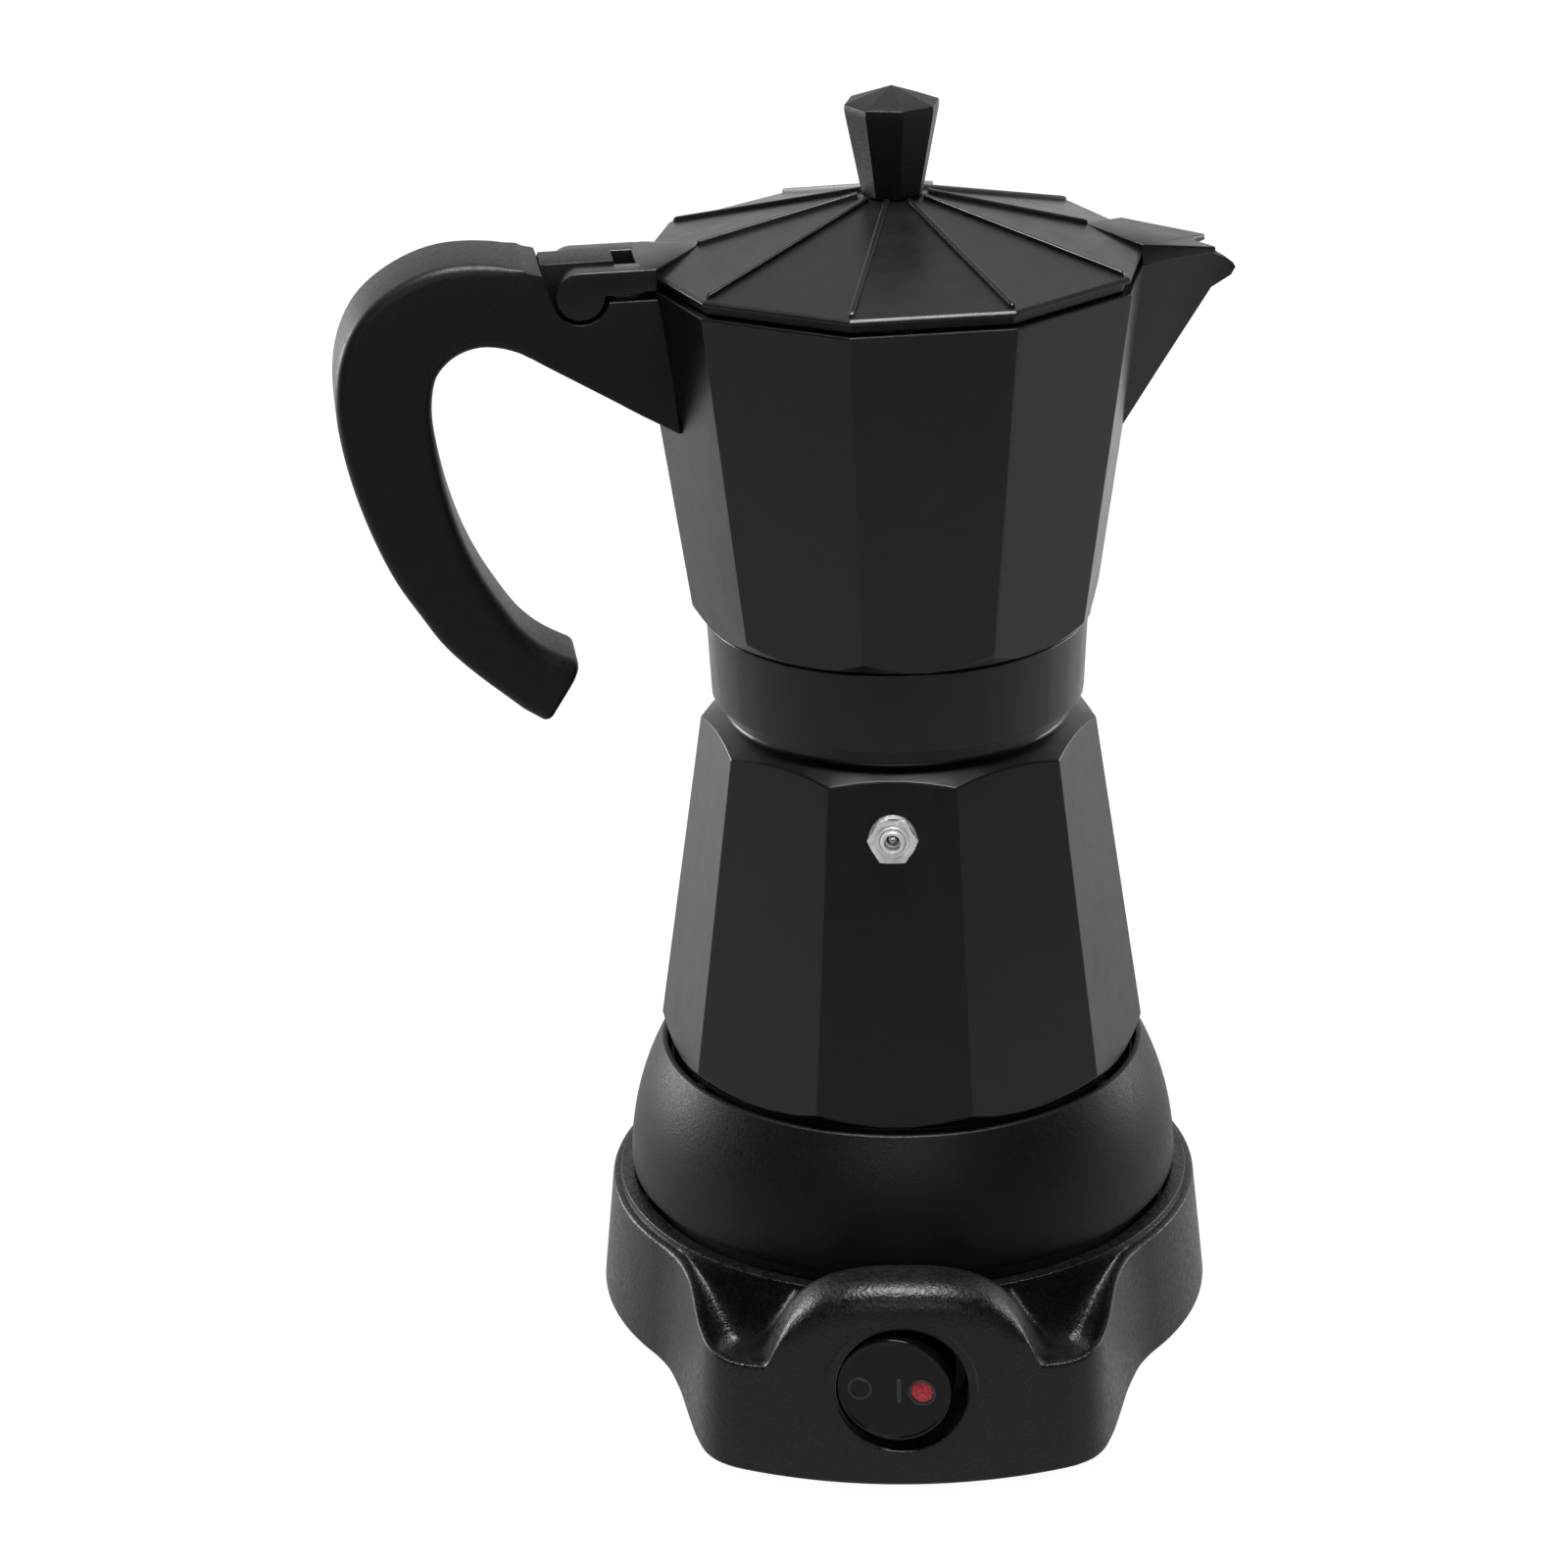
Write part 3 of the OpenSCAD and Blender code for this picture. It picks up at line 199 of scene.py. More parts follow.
def make(name, grids, body, slot, replaces, sharp, solids=()):
    """A piece on its body, with the finish of its slot, from grids and solids in millimetres. A grid
    is (points, close_rows, close_columns) or (points, close_rows, close_columns, keep), where keep
    says which quads stay; a solid is (points, faces). Doubles are merged and faces point outwards."""
    points, corners, total = [], [], 0
    for p, close_rows, close_columns, *keep in grids:
        q = quads(p.shape[0], p.shape[1], close_rows, close_columns)
        if keep:
            q = q[keep[0].reshape(-1)]
        points.append(p.reshape(-1, 3) * MM)
        corners += (q + total).tolist()
        total += len(points[-1])
    for p, faces in solids:
        points.append(np.asarray(p, float) * MM)
        corners += [[i + total for i in face] for face in faces]
        total += len(p)
    mesh = bpy.data.meshes.new(name)
    mesh.from_pydata(np.concatenate(points, 0).tolist(), [], corners)
    bm = bmesh.new()
    bm.from_mesh(mesh)
    bmesh.ops.remove_doubles(bm, verts=bm.verts, dist=1e-3 * MM)
    bmesh.ops.dissolve_degenerate(bm, edges=bm.edges, dist=1e-9)
    loose = [v for v in bm.verts if not v.link_faces]
    bmesh.ops.delete(bm, geom=loose, context="VERTS")
    bmesh.ops.recalc_face_normals(bm, faces=bm.faces)
    bm.to_mesh(mesh)
    bm.free()
    mesh.shade_smooth()
    mesh.set_sharp_from_angle(angle=math.radians(sharp))
    piece = added(name, mesh)
    mesh.materials.append(FINISH[slot])
    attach(piece, body)
    if replaces:
        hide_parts(*replaces)


FLAT_SHARES = (0.02, 0.2, 0.4, 0.6, 0.8, 0.98)
ARC_STEPS = 4


def plan(sides, roundness, shares=FLAT_SHARES):
    """Outline of a polygon with an inradius of 1 and its first corner on +X. Its corners are arcs
    whose radius is the roundness, and the shares are the places of points along each flat;
    returned as unit points, which any height's inradius scales."""
    half = math.pi / sides
    a = np.linspace(-half, half, ARC_STEPS + 1)
    arc = np.stack([(1 - roundness) / math.cos(half) + roundness * np.cos(a), roundness * np.sin(a)], -1)
    c, s = math.cos(2 * half), math.sin(2 * half)
    flip = np.array([[c, s], [-s, c]])
    start, end = arc[-1], arc[0] @ flip
    share = np.asarray(shares)[:, None]
    side = np.concatenate([arc, start * (1 - share) + end * share], 0)
    turn = 2 * half * np.arange(sides)
    c, s = np.cos(turn)[:, None], np.sin(turn)[:, None]
    return np.stack([side[:, 0] * c - side[:, 1] * s, side[:, 0] * s + side[:, 1] * c], -1).reshape(-1, 2)


def at(outline, inradius, z):
    """A row of points: the outline at an inradius and a height, each one value or one per column."""
    r, h = (np.broadcast_to(v, len(outline)) for v in (inradius, z))
    return np.stack([outline[:, 0] * r, outline[:, 1] * r, h], -1)


def ring(outline, radius, z):
    """A row of points in the outline's directions on a circle."""
    return at(outline, radius / np.linalg.norm(outline, axis=-1), z)


def rings(outline, *profile):
    """A ring for each (radius, height) of a profile."""
    return [ring(outline, r, z) for r, z in profile]


# ---------- materials
def node(tree, kind, inputs, **settings):
    """A node with its settings and inputs put in; an input that is another node's output is linked."""
    n = tree.nodes.new(kind)
    for key, value in settings.items():
        setattr(n, key, value)
    for key, value in inputs.items():
        if isinstance(value, bpy.types.NodeSocket):
            tree.links.new(value, n.inputs[key])
        else:
            n.inputs[key].default_value = value
    return n


def shader(name, colour, roughness, metallic=0.0, specular=0.5):
    """A material with its main shader's plain values set, and the parts to build its detail on."""
    m = bpy.data.materials.new(name)
    m.use_nodes = True
    tree = m.node_tree
    main = tree.nodes["Principled BSDF"]
    main.inputs["Base Color"].default_value = (*colour, 1)
    main.inputs["Roughness"].default_value = roughness
    main.inputs["Metallic"].default_value = metallic
    main.inputs["Specular IOR Level"].default_value = specular
    return m, tree, main


def place(tree):
    """The place on the object, in metres."""
    return tree.nodes.new("ShaderNodeTexCoord").outputs["Object"]


def noise(tree, scale, detail=2.0, rough=0.5, where=None):
    """A noise pattern over the object with about the given number of grains in a metre."""
    where = place(tree) if where is None else where
    return node(tree, "ShaderNodeTexNoise", {"Vector": where, "Scale": scale, "Detail": detail,
                                             "Roughness": rough}).outputs["Fac"]


def cells(tree, scale):
    """A pattern of rounded cells, with about the given number in a metre."""
    return node(tree, "ShaderNodeTexVoronoi", {"Vector": place(tree), "Scale": scale},
                feature="SMOOTH_F1").outputs["Distance"]


def spread(tree, value, low, high, from_low=0.3, from_high=0.7):
    """Maps a pattern's value to a range."""
    return node(tree, "ShaderNodeMapRange", {"Value": value, "From Min": from_low, "From Max": from_high,
                                             "To Min": low, "To Max": high}).outputs["Result"]


def math_of(tree, operation, a, b):
    """The result of an operation on two values."""
    return node(tree, "ShaderNodeMath", {0: a, 1: b}, operation=operation).outputs["Value"]


def roughen(tree, main, value, low, high):
    """Spreads the surface's roughness between two values by a pattern."""
    tree.links.new(spread(tree, value, low, high), main.inputs["Roughness"])


def bump(tree, main, height, strength, distance, under=None):
    """Raises the surface by a pattern; under is a bump that this one lies on."""
    below = {} if under is None else {"Normal": under}
    normal = node(tree, "ShaderNodeBump", {"Strength": strength, "Distance": distance, "Height": height,
                                           **below}).outputs["Normal"]
    tree.links.new(normal, main.inputs["Normal"])
    return normal


def tint(tree, main, value, dark, light, from_low=0.3, from_high=0.7):
    """Colours the surface between two colours by a pattern."""
    mix = node(tree, "ShaderNodeMix", {"Factor": spread(tree, value, 0, 1, from_low, from_high),
                                       "A": (*dark, 1), "B": (*light, 1)}, data_type="RGBA")
    tree.links.new(mix.outputs["Result"], main.inputs["Base Color"])


def scaled(colour, factor):
    """The colour made lighter or darker, up to full white."""
    return tuple(min(1, c * factor) for c in colour)


def coated_metal():
    """Satin black baked coating: a faint orange peel and a fine matt grain."""
    m, tree, main = shader("coated_metal", (0.005, 0.005, 0.0052), 0.32)
    fine = noise(tree, 2600, 3)
    roughen(tree, main, noise(tree, 180, 4), 0.28, 0.36)
    tint(tree, main, fine, (0.004, 0.004, 0.0042), (0.0065, 0.0065, 0.0068))
    peel = bump(tree, main, noise(tree, 420), 0.25, 0.00002)
    bump(tree, main, fine, 0.35, 0.00003, peel)
    return m


def grained_plastic(name, grain, depth, roughness, sparkle=0.0, specular=0.45):
    """Black plastic moulded with a spark grain: rounded bumps about 1/grain metres apart."""
    black = (0.004,) * 3
    m, tree, main = shader(name, black, roughness, specular=specular)
    fine = noise(tree, grain * 1.7, 3, 0.6)
    roughen(tree, main, noise(tree, grain * 0.5, 3), roughness - 0.06 - sparkle, roughness + 0.06)
    tint(tree, main, fine, scaled(black, 0.8), scaled(black, 1.35))
    low = bump(tree, main, cells(tree, grain), 0.6, depth)
    bump(tree, main, fine, 0.6, depth * 0.8, low)
    return m


def gloss_black():
    """Polished black plastic of the switch, with the faintest waviness."""
    m, tree, main = shader("gloss_black", (0.003, 0.003, 0.0032), 0.1, specular=0.3)
    roughen(tree, main, noise(tree, 900, 3), 0.06, 0.13)
    bump(tree, main, noise(tree, 150), 0.06, 0.0001)
    return m


def dark_plastic():
    """Dark inner mouldings, a little rough; on the rocker's marks its lighter grey is a painted highlight."""
    m, tree, main = shader("dark_plastic", (0.012, 0.012, 0.013), 0.5)
    fine = noise(tree, 1500, 3)
    tint(tree, main, fine, (0.018, 0.018, 0.019), (0.03, 0.03, 0.031))
    bump(tree, main, fine, 0.3, 0.00004)
    return m


def red_lens():
    """Translucent red pilot lens with a pebbled face."""
    m, tree, main = shader("red_lens", (0.36, 0.012, 0.016), 0.28)
    main.inputs["Subsurface Weight"].default_value = 0.25
    main.inputs["Subsurface Scale"].default_value = 0.001
    main.inputs["Subsurface Radius"].default_value = (1.0, 0.2, 0.1)
    pebbles = cells(tree, 2400)
    tint(tree, main, pebbles, (0.16, 0.004, 0.006), (0.55, 0.03, 0.035), 0.1, 0.6)
    bump(tree, main, pebbles, 0.8, 0.0002)
    return m


def metal(name, colour, roughness, grain, brushed=(1, 1, 1), metallic=1.0):
    """A metal with fine tool marks; brushed stretches the marks along an axis, and a metallic below 1 paints
    part of the colour on as diffuse.
    """
    m, tree, main = shader(name, colour, roughness, metallic=metallic)
    stretched = node(tree, "ShaderNodeMapping", {"Vector": place(tree), "Scale": brushed}).outputs["Vector"]
    marks = noise(tree, grain, 3, where=stretched)
    roughen(tree, main, marks, roughness * 0.65, roughness * 1.35)
    tint(tree, main, marks, scaled(colour, 0.9), scaled(colour, 1.06))
    bump(tree, main, marks, 0.12, 0.00003)
    return m


def rubber(name, colour):
    """Soft seal rubber with a dusty, uneven face."""
    m, tree, main = shader(name, colour, 0.62, specular=0.35)
    dust = noise(tree, 320, 4)
    tint(tree, main, dust, scaled(colour, 0.86), scaled(colour, 1.08))
    roughen(tree, main, dust, 0.52, 0.7)
    bump(tree, main, noise(tree, 1800, 3), 0.3, 0.00004)
    return m


FINISH = {
    "coated_metal": coated_metal(),
    "housing_plastic": grained_plastic("housing_plastic", 2200, 0.00005, 0.42, specular=0.28),
    "base_plastic": grained_plastic("base_plastic", 1700, 0.00014, 0.38, sparkle=0.1),
    "handle_plastic": grained_plastic("handle_plastic", 2200, 0.00004, 0.46, specular=0.35),
    "gloss_black": gloss_black(),
    "dark_plastic": dark_plastic(),
    "red_lens": red_lens(),
    # half metallic: part of the chrome's near-white colour is painted on as diffuse, a painted reflection
    # that brightens the nut
    "chrome": metal("chrome", (0.95, 0.94, 0.92), 0.42, 900, metallic=0.55),
    "bare_aluminium": metal("bare_aluminium", (0.78, 0.78, 0.79), 0.34, 600, (1, 1, 6)),
    "steel": metal("steel", (0.62, 0.61, 0.60), 0.24, 900),
    "contact_brass": metal("contact_brass", (0.78, 0.56, 0.25), 0.25, 900),
    "seal_rubber": rubber("seal_rubber", (0.78, 0.76, 0.70)),
    "foot_rubber": rubber("foot_rubber", (0.02, 0.02, 0.021)),
    "ceramic_white": rubber("ceramic_white", (0.74, 0.72, 0.66)),
}


def finish_cad_nodes():
    """Every node keeps its shape and takes the finish that the record names for it."""
    for row in frame["record"]["subparts"]:
        materials = frame["nodes"][row["node"]].data.materials
        materials.clear()
        materials.append(FINISH[row["material_slot"]])


# ---------- boiler
def pot_body(top_z, foot_z, face_z, foot_r, top_r, bevel_r, bevel_slope, outline, shoulder=None):
    """Ten tapered faces whose ends are turned to cones, so that their edges are scallops.

    Along each column the face's radius is g (f0 + f1 z) and the cone's is c0 + c1 z, with g the
    outline's own radius; they meet at z = (c0 - g f0) / (g f1 - c1).
    """
    g = np.linalg.norm(outline, axis=-1)
    f1 = (top_r - foot_r) * IN / (top_z - face_z)
    f0 = foot_r * IN - f1 * face_z

    def meet(c0, c1):
        """Where the faces meet the cone of radius c0 + c1 z."""
        z = (c0 - g * f0) / (g * f1 - c1)
        return at(outline, f0 + f1 * z, z)

    low = meet(bevel_r - bevel_slope * foot_z, bevel_slope)
    high = meet(*shoulder) if shoulder else at(outline, f0 + f1 * top_z, top_z)
    return [ring(outline, bevel_r, foot_z), low, high]


def thread(root_r, crest_r, z, top_z):
    """Profile of a screw thread's ridges between two heights, each 2 mm high."""
    profile = []
    while z + 2 < top_z:
        profile += [(root_r, z), (root_r, z + 0.5), (crest_r, z + 1.0), (crest_r, z + 1.5)]
        z += 2
    return profile


def boiler():
    """Faces, turned shoulder and threaded neck outside; a plain tapered room inside."""
    outline = plan(SIDES, 0.012)
    cone = NECK_R + SHOULDER_SLOPE * SHOULDER_TOP_Z, -SHOULDER_SLOPE
    rows = pot_body(SHOULDER_Z, BOILER_Z, BEVEL_TOP_Z, BOILER_FOOT_R, BOILER_TOP_R,
                    BOILER_FOOT_R * IN + 0.15, 0.8, outline, cone)
    undercut, neck_bore_r, floor_z = 1.3, NECK_R - 4.4, BOILER_Z + 5.4
    ridges = thread(NECK_R - 0.9, NECK_R, COLLAR_Z + 1.2, NECK_TOP_Z - 0.6)
    neck = rings(outline, (NECK_R - undercut, SHOULDER_TOP_Z + undercut / SHOULDER_SLOPE),
                 (NECK_R - undercut, COLLAR_Z + 0.5), *ridges, (NECK_R - 0.3, NECK_TOP_Z - 0.4),
                 (NECK_R - 0.7, NECK_TOP_Z), (neck_bore_r, NECK_TOP_Z))
    inside = rings(outline, (neck_bore_r, SHOULDER_Z - 4), (BOILER_TOP_R * IN - 4, SHOULDER_Z - 6),
                   (BOILER_FOOT_R * IN - 4, BOILER_Z + 7), (BOILER_FOOT_R * IN - 8, floor_z))
    keys = [[0, 0, BOILER_Z]] + rows + neck + inside + [[0, 0, floor_z]]
    reach = [0.2, 0.4, 0.3, 0.6, 0.2] + [0.25] * len(ridges) + [0.2, 0.2, 0.6, 1.0, 1.0, 1.0, 2.0]
    body = turned(soften(keys, reach), BOILER_TURN)
    make("boiler_body", [(body, False, True)], "boiler", "coated_metal", ["boiler"], 32)


# ---------- flat-sided solids
def bevelled(points, faces, width, keep_sharp=None):
    """A flat-sided solid in millimetres with its edges rounded, as (points, faces).
    keep_sharp takes an edge's two ends and says whether it stays as it is."""
    bm = bmesh.new()
    verts = [bm.verts.new(p) for p in points]
    for f in faces:
        bm.faces.new([verts[i] for i in f])
    bm.normal_update()
    edges = [e for e in bm.edges if e.is_manifold and e.calc_face_angle(0) > 0.3
             and not (keep_sharp and keep_sharp(e.verts[0].co, e.verts[1].co))]
    bmesh.ops.bevel(bm, geom=edges, offset=width, segments=3, affect="EDGES", profile=0.5, clamp_overlap=True)
    bm.verts.index_update()
    out = [tuple(v.co) for v in bm.verts], [[v.index for v in f.verts] for f in bm.faces]
    bm.free()
    return out


def prism(top, bottom):
    """Corners and faces of a solid between two outlines that have the same number of corners."""
    n = len(top)
    sides = [[i, (i + 1) % n, n + (i + 1) % n, n + i] for i in range(n)]
    return list(top) + list(bottom), sides + [list(range(n))[::-1], [n + i for i in range(n)]]


def upright(outline, half_w):
    """A side outline of (x, z) points given a thickness to both sides of the plane Y = 0."""
    return prism([(x, -half_w, z) for x, z in outline], [(x, half_w, z) for x, z in outline])


def curve(points, steps):
    """A smooth line through a list's inner points (Catmull-Rom), with so many steps to a point."""
    p = np.asarray(points, float)
    t = (np.arange(steps) / steps)[:, None, None]
    a, b, c, d = p[:-3][None], p[1:-2][None], p[2:-1][None], p[3:][None]
    line = 0.5 * (2 * b + (c - a) * t + (2 * a - 5 * b + 4 * c - d) * t ** 2
                  + (3 * b - a - 3 * c + d) * t ** 3)
    return line.transpose(1, 0, 2).reshape(-1, p.shape[1])


# ---------- coffee chamber
def chamber_r(z):
    """Corner radius of the chamber's faces at a height."""
    rise = (CHAMBER_TOP_R - CHAMBER_FOOT_R) * (z - CHAMBER_FACE_Z)
    return CHAMBER_FOOT_R + rise / (RIM_TOP_Z - CHAMBER_FACE_Z)


def spout():
    """A V-shaped trough: stations from the chamber's wall out to the lip, each a closed loop that
    runs down one outer side to the keel, up the other, and back along the two inner sides."""
    top = RIM_TOP_Z
    tip = CHAMBER_TOP_R + 18.1
    root_x = ARM_ROOT_R - 0.3
    keel_z = top - 36.6
    keel = np.array([[chamber_r(keel_z) - 1.2, keel_z - 1.9], [chamber_r(keel_z) + 8.8, keel_z + 13.8],
                     [tip - 5, top - 8.3], [tip - 0.9, top - 5.9], [tip, top - 4.3]])
    edge = np.array([[root_x - 1.0, ARM_HALF_W, top], [root_x + 8.0, 7.0, top], [tip - 6, 3.0, top],
                     [tip - 2.2, 0.9, top - 2.1], [tip - 0.5, 0.12, top - 3.4]])
    wall_y = np.array([2.2, 2.1, 1.7, 0.6, 0.08])
    lift = np.array([6.4, 4.6, 3.4, 1.6, 0.5])

    def row(x, y, z):
        """Points from three coordinates, of which any may be a single number."""
        return np.stack(np.broadcast_arrays(x, y, z), -1)

    (x, y, z), (low_x, low_z) = edge.T, keel.T
    corner = [row(x, side * y, z) for side in (1, -1)]
    low = [row(low_x, side * 0.25, low_z) for side in (1, -1)]
    middle = [(a + b) / 2 for a, b in zip(corner, low)]
    inner = [row(x - 0.2, side * (y - wall_y), z) for side in (1, -1)]
    inner_low = row(low_x - 0.9, 0.0, low_z + lift)
    rows = [corner[0], middle[0], low[0], low[1], middle[1], corner[1], inner[1], inner_low, inner[0]]
    grid = np.stack(rows, 1)
    return np.concatenate([drawn_in(grid[:1]), grid, drawn_in(grid[-1:])], 0)


def upper_chamber():
    """One closed skin: out over the floor, up inside the walls, over the rim, down the ten faces and
    the collar, and back through the thread, the gasket's seat and the hole of the coffee column.
    The walls at the spout are cut down to the trough's inner V."""
    outline = plan(SIDES, 0.010, (0.02, 0.15, 0.285, 0.32, 0.5, 0.68, 0.715, 0.85, 0.98))
    wall = 2.6
    floor_z = COLLAR_Z + 22.0
    y = outline[:, 1] * chamber_r(RIM_TOP_Z) * IN
    near = (np.abs(y) < 9.0) & (outline[:, 0] > 0)
    notch_z = np.where(near, np.minimum(RIM_TOP_Z, RIM_TOP_Z - 31.0 + 3.52 * np.abs(y)), RIM_TOP_Z)
    inside_foot = at(outline, chamber_r(floor_z) * IN - wall, floor_z)
    rim_in = at(outline, chamber_r(notch_z) * IN - wall, notch_z)
    faces = pot_body(RIM_TOP_Z, CHAMBER_Z, CHAMBER_FACE_Z, CHAMBER_FOOT_R, CHAMBER_TOP_R,
                     CHAMBER_FOOT_R * IN - 0.2, 2.2 / 2.6, outline)
    rim_out = at(outline, (chamber_r(notch_z) + 0.15) * IN, notch_z)
    collar_r, bore_r, seat_r, column_r, plate_r = NECK_R + 1.66, NECK_R + 0.06, NECK_R - 1.3, 6, 31
    ridges = thread(bore_r, NECK_R + 0.75, COLLAR_Z + 0.7, NECK_TOP_Z)
    keys = rings(outline, (column_r, floor_z + 3), (10, floor_z + 3), (10, floor_z))
    keys += [inside_foot, rim_in, rim_out, faces[1], faces[0]]
    keys += rings(outline, (collar_r - 0.1, CHAMBER_Z), (collar_r - 0.1, COLLAR_TOP_Z),
                  (collar_r + 0.8, COLLAR_TOP_Z - 0.05), (collar_r, COLLAR_Z), (NECK_R + 0.7, COLLAR_Z),
                  *ridges, (bore_r, NECK_TOP_Z + 0.6), (seat_r, NECK_TOP_Z + 0.6), (seat_r, NECK_TOP_Z + 4.2),
                  (plate_r, NECK_TOP_Z + 4.2), (plate_r, NECK_TOP_Z + 6.4), (column_r, floor_z - 1.6),
                  (column_r, floor_z + 3))
    reach = [0.4, 0.6, 3.0, 0.35, 0.55, 0.4, 0.3, 0.1, 0.2, 0.45, 0.4]
    reach += [0.2] * (len(ridges) + 5) + [0.3, 0.3]
    body = turned(soften(keys, reach), CHAMBER_TURN)
    trough = turned(spout(), CHAMBER_TURN)
    make("chamber_body", [(body, False, True), (trough, False, True)], "chamber", "coated_metal",
         ["upper_chamber"], 28)


# ---------- lid and knob
def lid_height(r):
    """Height of the lid's corner ridges at a distance from the axis."""
    return LID_EDGE_Z + (LID_R - r) * LID_SLOPE


def rib(angle, r0, r1):
    """A low bar along a corner of the lid: a squared half-round section carried outwards, its end
    rounded. Across and up are the cosine and sine of the half turn, each raised to 0.6."""
    end = [r1 - 0.45, r1 - 0.12, r1, r1]
    along = np.concatenate([[r0, r0, r0 + 1.0], np.linspace(r0 + 2, r1 - 1, 6), end])
    size = np.array([0, 1, 1] + [1] * 6 + [0.97, 0.75, 0.4, 0])
    a = np.linspace(0, math.pi, 11)
    round_x = np.sign(np.cos(a)) * np.abs(np.cos(a)) ** 0.6
    across = np.concatenate([[0.6], 0.6 * round_x, [-0.6]])
    up = np.concatenate([[-1.2], 0.35 + 0.55 * np.sin(a) ** 0.6, [-1.2]])
    x = np.repeat(along[:, None], len(across), 1)
    y = size[:, None] * across[None]
    z = lid_height(along)[:, None] + size[:, None] * up[None]
    return turned(np.stack([x, y, z], -1), angle)


def hinge_arm():
    """The lid's tab towards the handle: a wedge that runs up a corner of the lid, and two upright
    arms, each with a straight top and a round end that hangs below the rim."""
    slot, tab_r = 5.3, CHAMBER_TOP_R
    edge = [(-APEX_R, 0), (-ARM_ROOT_R, ARM_HALF_W - 0.03), (-tab_r, ARM_HALF_W - 0.03),
            (-tab_r, 0.03 - ARM_HALF_W), (-ARM_ROOT_R, 0.03 - ARM_HALF_W)]
    apex_z = lid_height(APEX_R) + 0.05
    top = [(x, y, apex_z if y == 0 else ARM_TOP_Z - 0.03) for x, y in edge]
    bottom = [(x, y, LID_Z + (3.0 if y == 0 else 0.0)) for x, y in edge]
    parts = [bevelled(*prism(top, bottom), 0.3)]
    a = np.radians(np.linspace(84, -178, 27))
    side_line = [(tab_r - 1.0, LID_Z - 0.3), (tab_r - 1.0, ARM_TOP_Z)]
    side_line += [(HINGE_R + KNUCKLE_R * math.cos(t), HINGE_Z - 0.1 + KNUCKLE_R * math.sin(t)) for t in a]
    for side in (-1, 1):
        near = [(-r, side * slot, z) for r, z in side_line]
        far = [(-r, side * ARM_HALF_W, z) for r, z in side_line]
        parts.append(bevelled(*prism(near, far), 0.28, lambda p, q: p.x > -tab_r and q.x > -tab_r))
    return parts


def spout_plate():
    """The flat plate over the spout, with a fish-tail notch in its tip."""
    root_z, tip_z = ARM_TOP_Z - 0.4, ARM_TOP_Z - 3.3

    def height(x):
        """On a straight slope from the root to the tip."""
        return root_z + (tip_z - root_z) * (x - ARM_ROOT_R) / (PLATE_TIP_X - ARM_ROOT_R)

    half = [(ARM_ROOT_R, ARM_HALF_W), (PLATE_TIP_X, 5.4), (PLATE_TIP_X, 4.6), (PLATE_TIP_X - 2.4, 2.4),
            (PLATE_TIP_X - 3.2, 1.5), (PLATE_TIP_X - 3.6, 0.6)]
    edge = [(x, -y) for x, y in half] + half[::-1]
    n = len(edge)
    corners = [(x, y, height(x)) for x, y in edge] + [(APEX_R, 0, lid_height(APEX_R) + 0.05)]
    corners += [(x, y, LID_Z) for x, y in edge] + [(APEX_R, 0, LID_Z + 3)]
    faces = [[i, i + 1, n + 2 + i, n + 1 + i] for i in range(n - 1)]
    faces += [[n - 1, n, 2 * n + 1, 2 * n], [n, 0, n + 1, 2 * n + 1]]
    faces += [list(range(n))[::-1], [n - 1, 0, n], [n + 1 + i for i in range(n)], [n + 1, 2 * n, 2 * n + 1]]
    return bevelled(corners, faces, 0.3)


def lid():
    """Ten flat slopes with a bevelled edge and a straight band; hollow below; ribs on its corners."""
    outline = plan(SIDES, 0.006)
    thick = 2.2

    def edge(inset, z):
        """A row at a distance inside the lid's edge."""
        return at(outline, (LID_R - inset) * IN, z)

    keys = [[0, 0, LID_TOP_Z], at(outline, LID_TOP_R * IN, LID_TOP_Z), edge(0.6, lid_height(LID_R - 0.6)),
            edge(0, LID_EDGE_Z - 0.4), edge(0.1, LID_EDGE_Z - 1.0), edge(1.7, LID_EDGE_Z - 1.4),
            edge(1.7, LID_Z), edge(2.6, LID_Z), edge(2.6, LID_EDGE_Z - thick),
            at(outline, (LID_TOP_R - thick) * IN, LID_TOP_Z - thick), [0, 0, LID_TOP_Z - thick]]
    shell = soften(keys, [0.3, 0.2, 0.2, 0.2, 0.2, 0.2, 0.3, 0.5, 0.5])
    grids = [(turned(shell, CHAMBER_TURN), False, True)]
    for i in range(SIDES):
        end = APEX_R + 0.8 if i % (SIDES // 2) == 0 else LID_R - 1.4
        grids.append((rib(CHAMBER_TURN + i * 2 * HALF, 7.2, end), False, False))
    solids = [(turned(p, CHAMBER_TURN), f) for p, f in hinge_arm() + [spout_plate()]]
    make("lid_body", grids, "lid", "coated_metal", ["lid"], 24, solids)


def knob():
    """Eight-sided knob that widens upwards, with a narrow band and a low pointed top."""
    outline = plan(8, 0.03)
    inner = math.cos(math.pi / 8)
    foot_z = KNOB_Z + 0.02
    keys = [[0, 0, foot_z], at(outline, KNOB_FOOT_R * inner, foot_z),
            at(outline, KNOB_R * inner, KNOB_TOP_Z - 4.6), at(outline, KNOB_R * inner, KNOB_TOP_Z - 3.3),
            [0, 0, KNOB_TOP_Z]]
    rows = turned(soften(keys, [0.3, 0.5, 0.35]), KNOB_TURN)
    make("knob_body", [(rows, False, True)], "lid", "handle_plastic", ["lid_knob"], 28)


